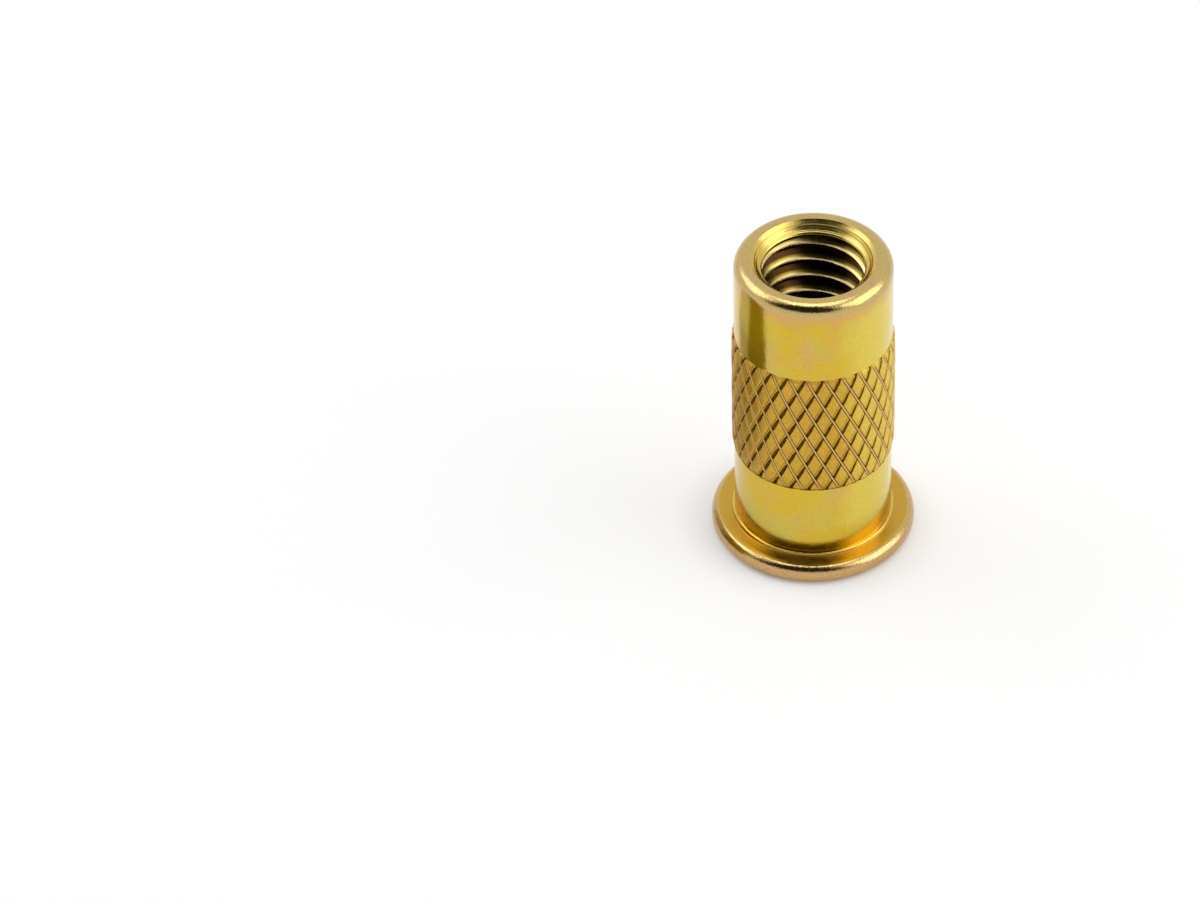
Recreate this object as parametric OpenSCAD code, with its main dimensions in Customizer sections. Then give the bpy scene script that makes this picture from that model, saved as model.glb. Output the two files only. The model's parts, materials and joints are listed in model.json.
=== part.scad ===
// Flat-head knurled rivet nut: a turned steel tube with a flange at one end, a
// diamond-knurled band round its middle and an internal thread at the open end.
// It stands on the outer face of its flange. All sizes are in millimetres.

/* [Body] */
// Length from the outer face of the flange to the open end
total_length = 26.7; // [24:0.1:40]
// Diameter of the plain shank
body_diameter = 12.4; // [12.2:0.05:13]
// Radius of the rounded outer edge at the open end
rim_radius = 0.95; // [0.3:0.05:1.1]

/* [Flange] */
// Diameter of the flange
flange_diameter = 16.06; // [15:0.01:20]
// Thickness of the flange
flange_thickness = 1.6; // [1.5:0.05:2.5]
// Edge radius round the flange's outer face
flange_outer_radius = 0.7; // [0.3:0.05:0.8]
// Edge radius round the flange's inner face
flange_inner_radius = 0.75; // [0.2:0.05:0.85]
// How far the low collar at the foot of the shank stands out from it
collar_step = 0.22; // [0.15:0.01:0.4]
// Height of the collar above the flange
collar_height = 0.25; // [0.2:0.01:0.5]
// Radius of the collar's edge and of the hollow fillets beside it
collar_radius = 0.12; // [0.05:0.01:0.14]

/* [Bore] */
// Minor diameter of the internal thread (3/8 inch, 16 threads per inch)
thread_minor_diameter = 8; // [7.6:0.05:8.4]
// Length of the threaded end, the countersink included
thread_length = 11; // [8:0.1:14]
// Mouth diameter of the countersink that leads into the thread
countersink_diameter = 9.74; // [9:0.01:10]
// Included angle of the countersink
countersink_angle = 90; // [60:5:120]
// Diameter of the plain bore through the flange and the part that collapses
sleeve_bore_diameter = 10; // [9.6:0.05:10.4]
// Included angle of the drill point between the plain bore and the thread
drill_point_angle = 118; // [90:1:140]
// Width of the small chamfer at the bore's edge in the flange
entry_chamfer = 0.35; // [0.1:0.05:0.6]

/* [Knurl] */
// Height of the lower edge of the knurled band above the flange's outer face
knurl_start = 8.3; // [5:0.1:11]
// Length of the knurled band
knurl_length = 11.2; // [6:0.1:12]
// Number of diamonds round the band
knurl_count = 28; // [20:1:36]
// Distance between diamonds along the shank
knurl_pitch = 2.925; // [2:0.005:4]
// How far the diamonds stand out from the plain shank
knurl_rise = 0.2; // [0.1:0.01:0.3]
// Depth of the grooves below the tops of the diamonds
knurl_depth = 0.36; // [0.2:0.01:0.45]
// Width of the grooves at their top
knurl_groove_width = 0.3; // [0.2:0.01:0.4]
// Direction in which two grooves cross at the middle of the band, in degrees
knurl_turn = -82.5; // [-180:0.5:180]

/* [Hidden] */

$fn = 96;
overcut = 1;

body_radius = body_diameter / 2;
flange_radius = flange_diameter / 2;
collar_outer_radius = body_radius + collar_step;
collar_top = flange_thickness + collar_height;

minor_radius = thread_minor_diameter / 2;
mouth_radius = countersink_diameter / 2;
sleeve_radius = sleeve_bore_diameter / 2;
thread_start = total_length - thread_length;
countersink_slope = tan(countersink_angle / 2);
drill_slope = tan(drill_point_angle / 2);

knurl_end = knurl_start + knurl_length;
knurl_middle = knurl_start + knurl_length / 2;
crest_radius = body_radius + knurl_rise;
groove_radius = crest_radius - knurl_depth;
// The diamonds are rooted this far below the bottom of the grooves
root_depth = 0.1;
root_radius = groove_radius - root_depth;
// Width of the flat strip along the bottom of each groove, and at the roots
groove_floor_width = 0.06;
root_gap = 0.02;
half_turn = 180 / knurl_count;
half_pitch = knurl_pitch / 2;
half_arc = crest_radius * half_turn * PI / 180;
// Distance from a diamond's centre to each of its four sides
side_distance = half_arc * half_pitch / norm([half_arc, half_pitch]);
// A diamond cut off by the end of the band is left out below this height
least_height = 0.2;
knurl_rows = ceil(knurl_length / knurl_pitch) + 1;

// ---------------------------------------------------------------- outer form

// What is cut away outside a rounded edge whose arc is centred on the origin
module edge_waste(radius) {
    difference() {
        square(radius + overcut);
        circle(radius);
    }
}

// What is added inside a hollow corner at the origin
module corner_web(radius) {
    difference() {
        square(radius);
        translate([radius, radius]) circle(radius);
    }
}

module shank_profile() {
    difference() {
        square([body_radius, total_length]);
        translate([body_radius - rim_radius, total_length - rim_radius])
            edge_waste(rim_radius);
        translate([groove_radius, knurl_start])
            square([overcut, knurl_length]);
    }
}

module collar_profile() {
    difference() {
        square([collar_outer_radius, collar_top]);
        translate([collar_outer_radius - collar_radius, collar_top - collar_radius])
            edge_waste(collar_radius);
    }
    translate([body_radius, collar_top])
        corner_web(min(collar_radius, collar_step - collar_radius));
    translate([collar_outer_radius, flange_thickness])
        corner_web(min(collar_radius, collar_height - collar_radius));
}

module flange_profile() {
    difference() {
        square([flange_radius, flange_thickness]);
        translate([flange_radius - flange_outer_radius, flange_outer_radius])
            mirror([0, 1]) edge_waste(flange_outer_radius);
        translate([flange_radius - flange_inner_radius, flange_thickness - flange_inner_radius])
            edge_waste(flange_inner_radius);
    }
}

module turned_body() {
    rotate_extrude() {
        shank_profile();
        collar_profile();
        flange_profile();
    }
}

// --------------------------------------------------------------------- knurl

// Diamonds of one size are laid out flat as [angle from the diamond's centre,
// height], then wrapped round the shank. A groove of the given width beside
// them makes them smaller by this share.
function diamond_scale(groove) = 1 - groove / 2 / side_distance;

// Lowest and highest points of a diamond centred at height z, inside the band
function diamond_low(z, share) = max(z - share * half_pitch, knurl_start);
function diamond_high(z, share) = min(z + share * half_pitch, knurl_end);

// Half the diamond's width, as an angle, at height h
function half_width(z, h, share) = max(0, half_turn * (share - abs(h - z) / half_pitch));

// Heights at which the outline has a corner on each side. Their number is set
// by the diamond's top, so that its root has the same corners.
function corner_heights(z, share, crest_share) =
    let (
        low = diamond_low(z, share),
        high = diamond_high(z, share),
        cut_below = z - crest_share * half_pitch < knurl_start,
        cut_above = z + crest_share * half_pitch > knurl_end
    )
    concat(
        cut_below ? [low] : [],
        z > knurl_start && z < knurl_end ? [z] : [],
        cut_above ? [high] : []
    );

// Outline from the lowest point round to the right, the top and the left
function diamond_outline(z, share, crest_share) =
    let (
        heights = corner_heights(z, share, crest_share),
        right = [for (h = heights) [half_width(z, h, share), h]],
        left = [for (i = [len(right) - 1:-1:0]) [-right[i].x, right[i].y]]
    )
    concat(
        [[0, diamond_low(z, share)]],
        right,
        [[0, diamond_high(z, share)]],
        left
    );

function wrap(points, turn, radius) = [
    for (p = points) [radius * cos(turn + p.x), radius * sin(turn + p.x), p.y]
];

// Root points first, then crest points, each as one ring of count points
function diamond_points(turn, z) = concat(
    wrap(diamond_outline(z, diamond_scale(root_gap), diamond_scale(knurl_groove_width)),
        turn, root_radius),
    wrap(diamond_outline(z, diamond_scale(knurl_groove_width), diamond_scale(knurl_groove_width)),
        turn, crest_radius)
);

// Triangles of a diamond whose ring holds count points, numbered from first
function diamond_faces(first, count) = concat(
    [for (i = [1:count - 2]) [first, first + i, first + i + 1]],
    [for (i = [1:count - 2]) [first + count, first + count + i + 1, first + count + i]],
    [
        for (i = [0:count - 1])
            let (next = (i + 1) % count)
            each [
                [first + i, first + count + i, first + count + next],
                [first + i, first + count + next, first + next]
            ]
    ]
);

// Centres of all diamonds that reach far enough into the band: two sets of
// rows, the second set half a pitch higher and half a diamond round
function diamond_centres() = [
    for (shift = [0, 1])
        for (row = [-knurl_rows:knurl_rows])
            for (column = [0:knurl_count - 1])
                let (
                    z = knurl_middle + (row + shift / 2) * knurl_pitch,
                    turn = knurl_turn + (2 * column + 1 - shift) * half_turn,
                    share = diamond_scale(knurl_groove_width)
                )
                if (diamond_high(z, share) - diamond_low(z, share) > least_height)
                    [turn, z]
];

// Running totals of a list, starting at 0
function running_totals(counts, i = 0, total = 0) =
    i == len(counts) ? [] : concat([total], running_totals(counts, i + 1, total + counts[i]));

module knurl_diamonds() {
    solids = [for (c = diamond_centres()) diamond_points(c[0], c[1])];
    firsts = running_totals([for (s = solids) len(s)]);
    polyhedron(
        points = [for (s = solids) each s],
        faces = [for (i = [0:len(solids) - 1]) each diamond_faces(firsts[i], len(solids[i]) / 2)]
    );
}

// ---------------------------------------------------------------------- bore

module thread_bore() {
    translate([0, 0, thread_start])
        cylinder(r = minor_radius, h = thread_length + overcut);
    translate([0, 0, total_length - (mouth_radius - minor_radius) / countersink_slope])
        cylinder(
            r1 = minor_radius,
            r2 = mouth_radius + overcut * countersink_slope,
            h = (mouth_radius - minor_radius) / countersink_slope + overcut
        );
}

module sleeve_bore() {
    translate([0, 0, -overcut])
        cylinder(r = sleeve_radius, h = thread_start + overcut);
    translate([0, 0, thread_start])
        cylinder(r1 = sleeve_radius, r2 = 0, h = sleeve_radius / drill_slope);
    translate([0, 0, -overcut])
        cylinder(
            r1 = sleeve_radius + entry_chamfer + overcut,
            r2 = sleeve_radius,
            h = entry_chamfer + overcut
        );
}

module rivet_nut() {
    color("goldenrod")
        difference() {
            union() {
                turned_body();
                knurl_diamonds();
            }
            thread_bore();
            sleeve_bore();
        }
}

rivet_nut();
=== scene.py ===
"""Looks of a knurled rivet nut in yellow zinc: its mesh, its finishes and a plain studio.

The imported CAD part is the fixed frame. It gives the nut's box, its body and the radii of its
bores. One closed mesh stands for it here: the turned outside, the rolled knurl and the cut
thread, each with its own finish. Sizes of the nut are in millimetres until the mesh is done.
"""

import json
import logging
import math
from collections.abc import Callable
from dataclasses import dataclass
from enum import Enum

import bmesh
import bpy
from mathutils import Matrix, Vector


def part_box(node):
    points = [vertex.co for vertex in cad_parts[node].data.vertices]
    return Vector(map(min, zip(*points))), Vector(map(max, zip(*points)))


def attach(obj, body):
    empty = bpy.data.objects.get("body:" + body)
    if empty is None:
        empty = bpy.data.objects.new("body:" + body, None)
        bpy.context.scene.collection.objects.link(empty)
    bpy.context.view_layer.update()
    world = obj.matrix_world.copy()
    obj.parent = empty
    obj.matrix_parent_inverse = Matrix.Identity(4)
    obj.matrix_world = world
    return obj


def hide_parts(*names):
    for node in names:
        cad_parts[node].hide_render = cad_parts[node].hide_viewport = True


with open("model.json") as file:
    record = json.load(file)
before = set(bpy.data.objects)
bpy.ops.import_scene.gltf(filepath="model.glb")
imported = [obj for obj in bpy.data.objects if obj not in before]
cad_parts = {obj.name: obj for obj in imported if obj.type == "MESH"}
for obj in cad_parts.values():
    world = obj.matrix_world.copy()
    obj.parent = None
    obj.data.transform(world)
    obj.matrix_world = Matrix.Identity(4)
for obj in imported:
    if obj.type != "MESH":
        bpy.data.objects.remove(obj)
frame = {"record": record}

MM = 0.001
NODE = "rivet_nut"
FULL_TURN = 2 * math.pi
KNURL_MARKS = "knurl_marks"

# Short names for the types that most functions take
Tree = bpy.types.NodeTree
Socket = bpy.types.NodeSocket
Values = bpy.types.NodeOutputs
Outline = list[tuple[float, float]]
Ring = list[bmesh.types.BMVert]

log = logging.getLogger("rivet_nut")


class Surface(Enum):
    """The ways in which the nut's faces were made; the value is the material's place."""

    TURNED = 0
    ROLLED = 1
    CUT = 2
    FACED = 3
    SEAT = 4
    FLANGE_EDGE = 5
    MOUTH = 6
    # A pale film on the collar's edge, which is a painted highlight
    COLLAR_HIGHLIGHT = 7


def linear(colour: str) -> tuple[float, float, float, float]:
    """Turns an sRGB hex colour into linear light.

    Args:
        colour: The colour as six hex digits after a #.

    Returns:
        Red, green, blue and an alpha of 1.
    """
    values = [int(colour[i : i + 2], 16) / 255 for i in (1, 3, 5)]
    toe, slope = 0.04045, 12.92
    red, green, blue = (v / slope if v <= toe else ((v + 0.055) / 1.055) ** 2.4 for v in values)
    return red, green, blue, 1.0


def add_node(
    tree: Tree, kind: str, inputs: dict[str | int, object] | None = None, **settings: object
) -> bpy.types.Node:
    """Adds one node with its settings and links.

    Args:
        tree: The tree that the node goes into.
        kind: Blender's name of the node's type.
        inputs: Each input's name or number, with what it gets: an output to link, a node
            whose first output is linked, or a value.
        settings: Properties of the node itself.

    Returns:
        The new node.
    """
    node = tree.nodes.new(kind)
    for name, value in settings.items():
        setattr(node, name, value)
    for key, value in (inputs or {}).items():
        if isinstance(value, bpy.types.Node):
            value = value.outputs[0]
        if isinstance(value, Socket):
            tree.links.new(value, node.inputs[key])
        else:
            node.inputs[key].default_value = value
    return node


# ---------------------------------------------------------------- finishes


def from_axis(tree: Tree, place: Socket) -> Socket:
    """Adds a point's distance from the nut's axis, in metres.

    Args:
        tree: The material's tree.
        place: Object coordinates.

    Returns:
        The distance output.
    """
    flat = add_node(tree, "ShaderNodeVectorMath", {0: place, 1: (1.0, 1.0, 0.0)}, operation="MULTIPLY")
    return add_node(tree, "ShaderNodeVectorMath", {0: flat}, operation="LENGTH").outputs["Value"]


@dataclass(frozen=True)
class PatchyFilm:
    """A chromate film that drifts in soft patches, as its thickness does.

    Attributes:
        straw: The film's main colour.
        green: Colour of the thinner patches.
        pink: Colour of the thicker patches.
        green_share: Greatest share of the green in a patch.
        pink_share: Greatest share of the pink in a patch.
        patch_mm: Size of the green patches.
        pink_size: Size of the pink patches, as a share of that.
        levels: Values of the noise between which a patch sets in.
        green_seed: Place in the noise that gives the green patches.
        pink_seed: Place in the noise that gives the pink patches.
    """

    straw: str
    green: str
    pink: str
    green_share: float
    pink_share: float
    patch_mm: float
    pink_size: float = 0.7
    levels: tuple[float, float] = (0.42, 0.68)
    green_seed: float = 3.7
    pink_seed: float = 8.7

    def colour(self, tree: Tree, place: Socket) -> Socket:
        """Adds the film's colour.

        Args:
            tree: The material's tree.
            place: Object coordinates.

        Returns:
            The colour output.
        """
        colour = linear(self.straw)
        for tint, share, size, seed in (
            (self.green, self.green_share, self.patch_mm, self.green_seed),
            (self.pink, self.pink_share, self.patch_mm * self.pink_size, self.pink_seed),
        ):
            noise = add_node(
                tree,
                "ShaderNodeTexNoise",
                {"Vector": place, "W": seed, "Scale": 1 / (size * MM), "Detail": 1.5},
                noise_dimensions="4D",
            )
            amount = add_node(
                tree,
                "ShaderNodeMapRange",
                {
                    "Value": noise.outputs["Fac"],
                    "From Min": self.levels[0],
                    "From Max": self.levels[1],
                    "To Max": share,
                },
                interpolation_type="SMOOTHSTEP",
            )
            colour = add_node(
                tree, "ShaderNodeMix", {0: amount, 6: colour, 7: linear(tint)}, data_type="RGBA"
            ).outputs[2]
        return colour


@dataclass(frozen=True)
class RingedFilm:
    """A film whose colour depends on the distance from the axis: in the thread, a painted highlight at the
    crests and painted shade deeper in the grooves.

    Attributes:
        rings: Distances in millimetres from the nearest out, each with the colour there.
    """

    rings: tuple[tuple[float, str], ...]

    def colour(self, tree: Tree, place: Socket) -> Socket:
        """Adds the film's colour.

        Args:
            tree: The material's tree.
            place: Object coordinates.

        Returns:
            The colour output.
        """
        near, far = self.rings[0][0], self.rings[-1][0]
        share = add_node(
            tree,
            "ShaderNodeMapRange",
            {"Value": from_axis(tree, place), "From Min": near * MM, "From Max": far * MM},
        )
        ramp = add_node(tree, "ShaderNodeValToRGB", {"Fac": share})
        # A new ramp has a stop at each end, and the stops keep themselves in order
        stops = ramp.color_ramp.elements
        for distance, _ in self.rings[1:-1]:
            stops.new((distance - near) / (far - near))
        for stop, (_, tint) in zip(stops, self.rings):
            stop.color = linear(tint)
        return ramp.outputs["Color"]


class Direction(Enum):
    """The directions in which a film drifts; the value is the coordinate's name."""

    ACROSS = "X"
    UP = "Z"


@dataclass(frozen=True)
class Drift:
    """A change of the film's colour towards one side of the nut, with a wavy border.

    Attributes:
        tint: The colour that the film changes to.
        direction: The direction in which it changes.
        start_mm: Where along it the change sets in.
        end_mm: Where the change is complete.
        share: Greatest share of the tint.
        wave_mm: Size of the border's waves.
        reach_mm: How far the waves shift the border.
        detail: How many finer waves lie on them.
        above_mm: Heights between which the change appears, if it keeps clear of the foot.
    """

    tint: str
    direction: Direction
    start_mm: float
    end_mm: float
    share: float
    wave_mm: float
    reach_mm: float
    detail: float
    above_mm: tuple[float, float] | None = None

    def over(self, tree: Tree, place: Socket, colour: Socket) -> Socket:
        """Adds the change to a colour.

        Args:
            tree: The material's tree.
            place: Object coordinates.
            colour: The colour so far.

        Returns:
            The colour output.
        """
        axes = add_node(tree, "ShaderNodeSeparateXYZ", {0: place}).outputs
        waves = add_node(
            tree,
            "ShaderNodeTexNoise",
            {"Vector": place, "Scale": 1 / (self.wave_mm * MM), "Detail": self.detail},
        )
        wavy = add_node(
            tree,
            "ShaderNodeMath",
            {0: waves.outputs["Fac"], 1: self.reach_mm * MM, 2: axes[self.direction.value]},
            operation="MULTIPLY_ADD",
        )
        share = add_node(
            tree,
            "ShaderNodeMapRange",
            {
                "Value": wavy,
                "From Min": self.start_mm * MM,
                "From Max": self.end_mm * MM,
                "To Max": self.share,
            },
            interpolation_type="SMOOTHSTEP",
        ).outputs["Result"]
        if self.above_mm is not None:
            low, high = self.above_mm
            above = add_node(
                tree,
                "ShaderNodeMapRange",
                {"Value": axes["Z"], "From Min": low * MM, "From Max": high * MM},
                interpolation_type="SMOOTHSTEP",
            ).outputs["Result"]
            share = add_node(tree, "ShaderNodeMath", {0: share, 1: above}, operation="MULTIPLY").outputs[0]
        return add_node(
            tree, "ShaderNodeMix", {0: share, 6: colour, 7: linear(self.tint)}, data_type="RGBA"
        ).outputs[2]


@dataclass(frozen=True)
class Specks:
    """Fine light and dark specks in the film, drawn just coarse enough to show.

    Attributes:
        size_mm: Size of the specks.
        strength: How much lighter and darker they are.
        levels: Values of the noise between which they run from dark to light.
    """

    size_mm: float
    strength: float
    levels: tuple[float, float] = (0.3, 0.7)

    def over(self, tree: Tree, place: Socket, colour: Socket) -> Socket:
        """Adds the specks to a colour.

        Args:
            tree: The material's tree.
            place: Object coordinates.
            colour: The colour so far.

        Returns:
            The colour output.
        """
        noise = add_node(
            tree,
            "ShaderNodeTexNoise",
            {"Vector": place, "Scale": 1 / (self.size_mm * MM), "Detail": 2.0},
        )
        value = add_node(
            tree,
            "ShaderNodeMapRange",
            {
                "Value": noise.outputs["Fac"],
                "From Min": self.levels[0],
                "From Max": self.levels[1],
                "To Min": 1.0 - self.strength,
                "To Max": 1.0 + self.strength,
            },
        )
        return add_node(
            tree, "ShaderNodeHueSaturation", {"Color": colour, "Value": value}
        ).outputs["Color"]


@dataclass(frozen=True)
class KnurlLines:
    """Colours painted on the knurl's lines, where its tree has marked them: a painted highlight on the
    seams and painted shade in the cuts.

    Attributes:
        seam: Paler colour of the raised seams, a painted highlight for the light they catch.
        cut_shade: Colour of the painted shade in the cuts.
        seam_highlight_levels: Nearness to a seam's line between which its painted highlight sets in.
        cut_shade_levels: Depths between which the painted shade sets in, as shares of a crease's.
    """

    seam: str
    cut_shade: str
    seam_highlight_levels: tuple[float, float] = (0.3, 0.6)
    cut_shade_levels: tuple[float, float] = (0.1, 0.8)

    def over(self, tree: Tree, colour: Socket) -> Socket:
        """Adds the lines to a colour.

        Args:
            tree: The material's tree.
            colour: The colour so far.

        Returns:
            The colour output.
        """
        marks = add_node(tree, "ShaderNodeAttribute", attribute_name=KNURL_MARKS).outputs["Vector"]
        marks = add_node(tree, "ShaderNodeSeparateXYZ", {0: marks}).outputs
        # Painted highlight near a seam, then painted shade where a cut is deep
        for mark, tint, (low, high) in (
            (marks["Y"], self.seam, self.seam_highlight_levels),
            (marks["X"], self.cut_shade, self.cut_shade_levels),
        ):
            amount = add_node(
                tree, "ShaderNodeMapRange", {"Value": mark, "From Min": low, "From Max": high}
            )
            colour = add_node(
                tree, "ShaderNodeMix", {0: amount, 6: colour, 7: linear(tint)}, data_type="RGBA"
            ).outputs[2]
        return colour


@dataclass(frozen=True)
class YellowZinc:
    """Zinc plate with a yellow chromate over steel, on one kind of surface.

    The chromate is a thin iridescent film, so the metal reflects straw yellow, and green
    or salmon pink where the film is thinner or thicker.

    Attributes:
        name: Common name of the finish and how its surface was made.
        film: The film's colour.
        roughness: Lowest and highest roughness of the surface.
        grain_mm: Size of the plate's fine pebbles.
        grain_height_mm: Height of the pebbles.
        layers: What changes the film's colour, in order.
        lines: Colours of the knurl's lines, on the knurl.
        lathe_mm: Spacing of the lathe's marks.
        lathe_height_mm: Height of the lathe's marks, 0 where there are none.
        rough_patch: Size of the rougher and smoother patches, in pebbles.
        rough_levels: Values of the noise between which they run from smooth to rough.
    """

    name: str
    film: PatchyFilm | RingedFilm
    roughness: tuple[float, float]
    grain_mm: float
    grain_height_mm: float
    layers: tuple[Drift | Specks, ...] = ()
    lines: KnurlLines | None = None
    lathe_mm: float = 0.3
    lathe_height_mm: float = 0.0
    rough_patch: float = 4.0
    rough_levels: tuple[float, float] = (0.35, 0.65)

    def material(self) -> bpy.types.Material:
        """Makes the material.

        Returns:
            The material with its nodes.
        """
        material = bpy.data.materials.new(self.name)
        material.use_nodes = True
        tree = material.node_tree
        tree.nodes.clear()
        place = add_node(tree, "ShaderNodeTexCoord").outputs["Object"]
        colour = self.film.colour(tree, place)
        for layer in self.layers:
            colour = layer.over(tree, place, colour)
        if self.lines is not None:
            colour = self.lines.over(tree, colour)
        patches = add_node(
            tree,
            "ShaderNodeTexNoise",
            {"Vector": place, "Scale": 1 / (self.grain_mm * self.rough_patch * MM), "Detail": 3.0},
        )
        roughness = add_node(
            tree,
            "ShaderNodeMapRange",
            {
                "Value": patches.outputs["Fac"],
                "From Min": self.rough_levels[0],
                "From Max": self.rough_levels[1],
                "To Min": self.roughness[0],
                "To Max": self.roughness[1],
            },
        )
        metal = add_node(
            tree,
            "ShaderNodeBsdfPrincipled",
            {
                "Base Color": colour,
                "Metallic": 1.0,
                "Roughness": roughness,
                "Normal": self.relief(tree, place),
            },
        )
        add_node(tree, "ShaderNodeOutputMaterial", {"Surface": metal.outputs["BSDF"]})
        return material

    def relief(self, tree: Tree, place: Socket) -> Socket:
        """Adds the plate's pebbles and the lathe's marks.

        Args:
            tree: The material's tree.
            place: Object coordinates.

        Returns:
            The normal output.
        """
        # Real pebbles and lathe marks are hundredths of a millimetre wide, so they are drawn coarser
        pebbles = add_node(
            tree,
            "ShaderNodeTexNoise",
            {"Vector": place, "Scale": 1 / (self.grain_mm * MM), "Detail": 2.0},
        )
        bump = add_node(
            tree,
            "ShaderNodeBump",
            {
                "Height": pebbles.outputs["Fac"],
                "Distance": self.grain_height_mm * MM,
                "Strength": 1.0,
            },
        )
        if not self.lathe_height_mm:
            return bump.outputs["Normal"]
        marks = add_node(
            tree,
            "ShaderNodeTexNoise",
            {"W": from_axis(tree, place), "Scale": 1 / (self.lathe_mm * MM), "Detail": 2.0},
            noise_dimensions="1D",
        )
        rings = add_node(
            tree,
            "ShaderNodeBump",
            {
                "Height": marks.outputs["Fac"],
                "Distance": self.lathe_height_mm * MM,
                "Strength": 1.0,
                "Normal": bump.outputs["Normal"],
            },
        )
        return rings.outputs["Normal"]


def painted_light_side(tint: str) -> Drift:
    """Gives a paler film towards +X, above the shank's foot: painted light, as if that side were lit more
    brightly.

    Args:
        tint: The paler colour of the painted light.

    Returns:
        The change of colour.
    """
    return Drift(
        tint=tint,
        direction=Direction.ACROSS,
        start_mm=2.6,
        end_mm=5.2,
        share=0.9,
        wave_mm=2.5,
        reach_mm=2.4,
        detail=2.0,
        above_mm=(2.8, 4.8),
    )


def nut_finishes(top_mm: float) -> dict[Surface, YellowZinc]:
    """Gives the finish of each kind of surface.

    Args:
        top_mm: Height of the nut's open end.

    Returns:
        The finishes by surface.
    """
    return {
        # Bright and smooth, so it mirrors the floor in clear yellow, and pinker near the end
        Surface.TURNED: YellowZinc(
            name="yellow_zinc_on_turned_steel",
            film=PatchyFilm(
                straw="#D3B23A",
                green="#C8B758",
                pink="#D4A06C",
                green_share=0.7,
                pink_share=0.4,
                patch_mm=3.4,
            ),
            roughness=(0.12, 0.18),
            grain_mm=0.2,
            grain_height_mm=0.006,
            layers=(
                # Painted light: the film turns paler towards +X
                painted_light_side("#DFC856"),
                Specks(size_mm=0.2, strength=0.05),
                Drift(
                    tint="#D4A06C",
                    direction=Direction.UP,
                    start_mm=top_mm - 1.7,
                    end_mm=top_mm - 0.5,
                    share=0.6,
                    wave_mm=0.9,
                    reach_mm=1.2,
                    detail=4.0,
                ),
            ),
        ),
        # Pressed between hard rollers, so it is matt and ochre with a warm mottle
        Surface.ROLLED: YellowZinc(
            name="yellow_zinc_on_rolled_knurl",
            film=PatchyFilm(
                straw="#CCA43C",
                green="#C8AA3E",
                pink="#D69E42",
                green_share=0.6,
                pink_share=0.7,
                patch_mm=0.9,
            ),
            roughness=(0.42, 0.52),
            grain_mm=0.12,
            grain_height_mm=0.012,
            # Painted light: the film turns paler towards +X
            layers=(painted_light_side("#E4C452"), Specks(size_mm=0.1, strength=0.22)),
            # The dark colour in the cuts is painted shade, and the paler seams are a painted highlight
            lines=KnurlLines(seam="#DDBA7E", cut_shade="#694A12"),
        ),
        # Cut by a tap; the film is paler at the crests, a painted highlight, and darkens deeper in the
        # grooves, which is painted shade
        Surface.CUT: YellowZinc(
            name="yellow_zinc_on_cut_thread",
            film=RingedFilm(
                rings=((3.98, "#ECD9A0"), (4.14, "#DCC47C"), (4.27, "#A08A40"), (4.44, "#3E2A12"))
            ),
            roughness=(0.2, 0.28),
            grain_mm=0.2,
            grain_height_mm=0.004,
        ),
        # The countersink keeps the rings of the tool, so its gleams break into fine arcs
        Surface.MOUTH: YellowZinc(
            name="yellow_zinc_on_countersink",
            film=PatchyFilm(
                straw="#CEB660",
                green="#C2B054",
                pink="#CDA868",
                green_share=0.5,
                pink_share=0.4,
                patch_mm=1.2,
            ),
            roughness=(0.2, 0.28),
            grain_mm=0.2,
            grain_height_mm=0.006,
            lathe_mm=0.3,
            lathe_height_mm=0.09,
        ),
        # Faced and rounded on the lathe, where the film is thick: khaki pink, finely pebbled
        Surface.FACED: YellowZinc(
            name="yellow_zinc_on_faced_steel",
            film=PatchyFilm(
                straw="#C6AE6E",
                green="#C6AE5E",
                pink="#CBA478",
                green_share=0.4,
                pink_share=0.5,
                patch_mm=1.4,
            ),
            roughness=(0.13, 0.19),
            grain_mm=0.13,
            grain_height_mm=0.014,
            layers=(Specks(size_mm=0.2, strength=0.06),),
        ),
        # The flange's upper face keeps the fine rings of the lathe, and a golden film
        Surface.SEAT: YellowZinc(
            name="yellow_zinc_on_lathe_rings",
            film=PatchyFilm(
                straw="#C59D3A",
                green="#BE9F3E",
                pink="#C49D4C",
                green_share=0.4,
                pink_share=0.4,
                patch_mm=1.4,
            ),
            roughness=(0.27, 0.35),
            grain_mm=0.2,
            grain_height_mm=0.006,
            lathe_mm=0.22,
            lathe_height_mm=0.02,
        ),
        # The collar's rounded edge gets a pale film, a painted highlight where the edge would catch the
        # light
        Surface.COLLAR_HIGHLIGHT: YellowZinc(
            name="yellow_zinc_with_painted_collar_highlight",
            film=PatchyFilm(
                straw="#E4C068",
                green="#DCBC60",
                pink="#E4B868",
                green_share=0.4,
                pink_share=0.4,
                patch_mm=1.2,
            ),
            roughness=(0.2, 0.28),
            grain_mm=0.2,
            grain_height_mm=0.006,
        ),
        # The flange's rounded rim is the pinkest, and pebbled all over
        Surface.FLANGE_EDGE: YellowZinc(
            name="yellow_zinc_on_flange_edge",
            film=PatchyFilm(
                straw="#C9A56E",
                green="#C6A95C",
                pink="#C89A78",
                green_share=0.5,
                pink_share=0.6,
                patch_mm=1.2,
            ),
            roughness=(0.14, 0.22),
            grain_mm=0.13,
            grain_height_mm=0.015,
            layers=(Specks(size_mm=0.2, strength=0.12),),
        ),
    }


# ------------------------------------------------------------ rule-made parts


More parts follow.
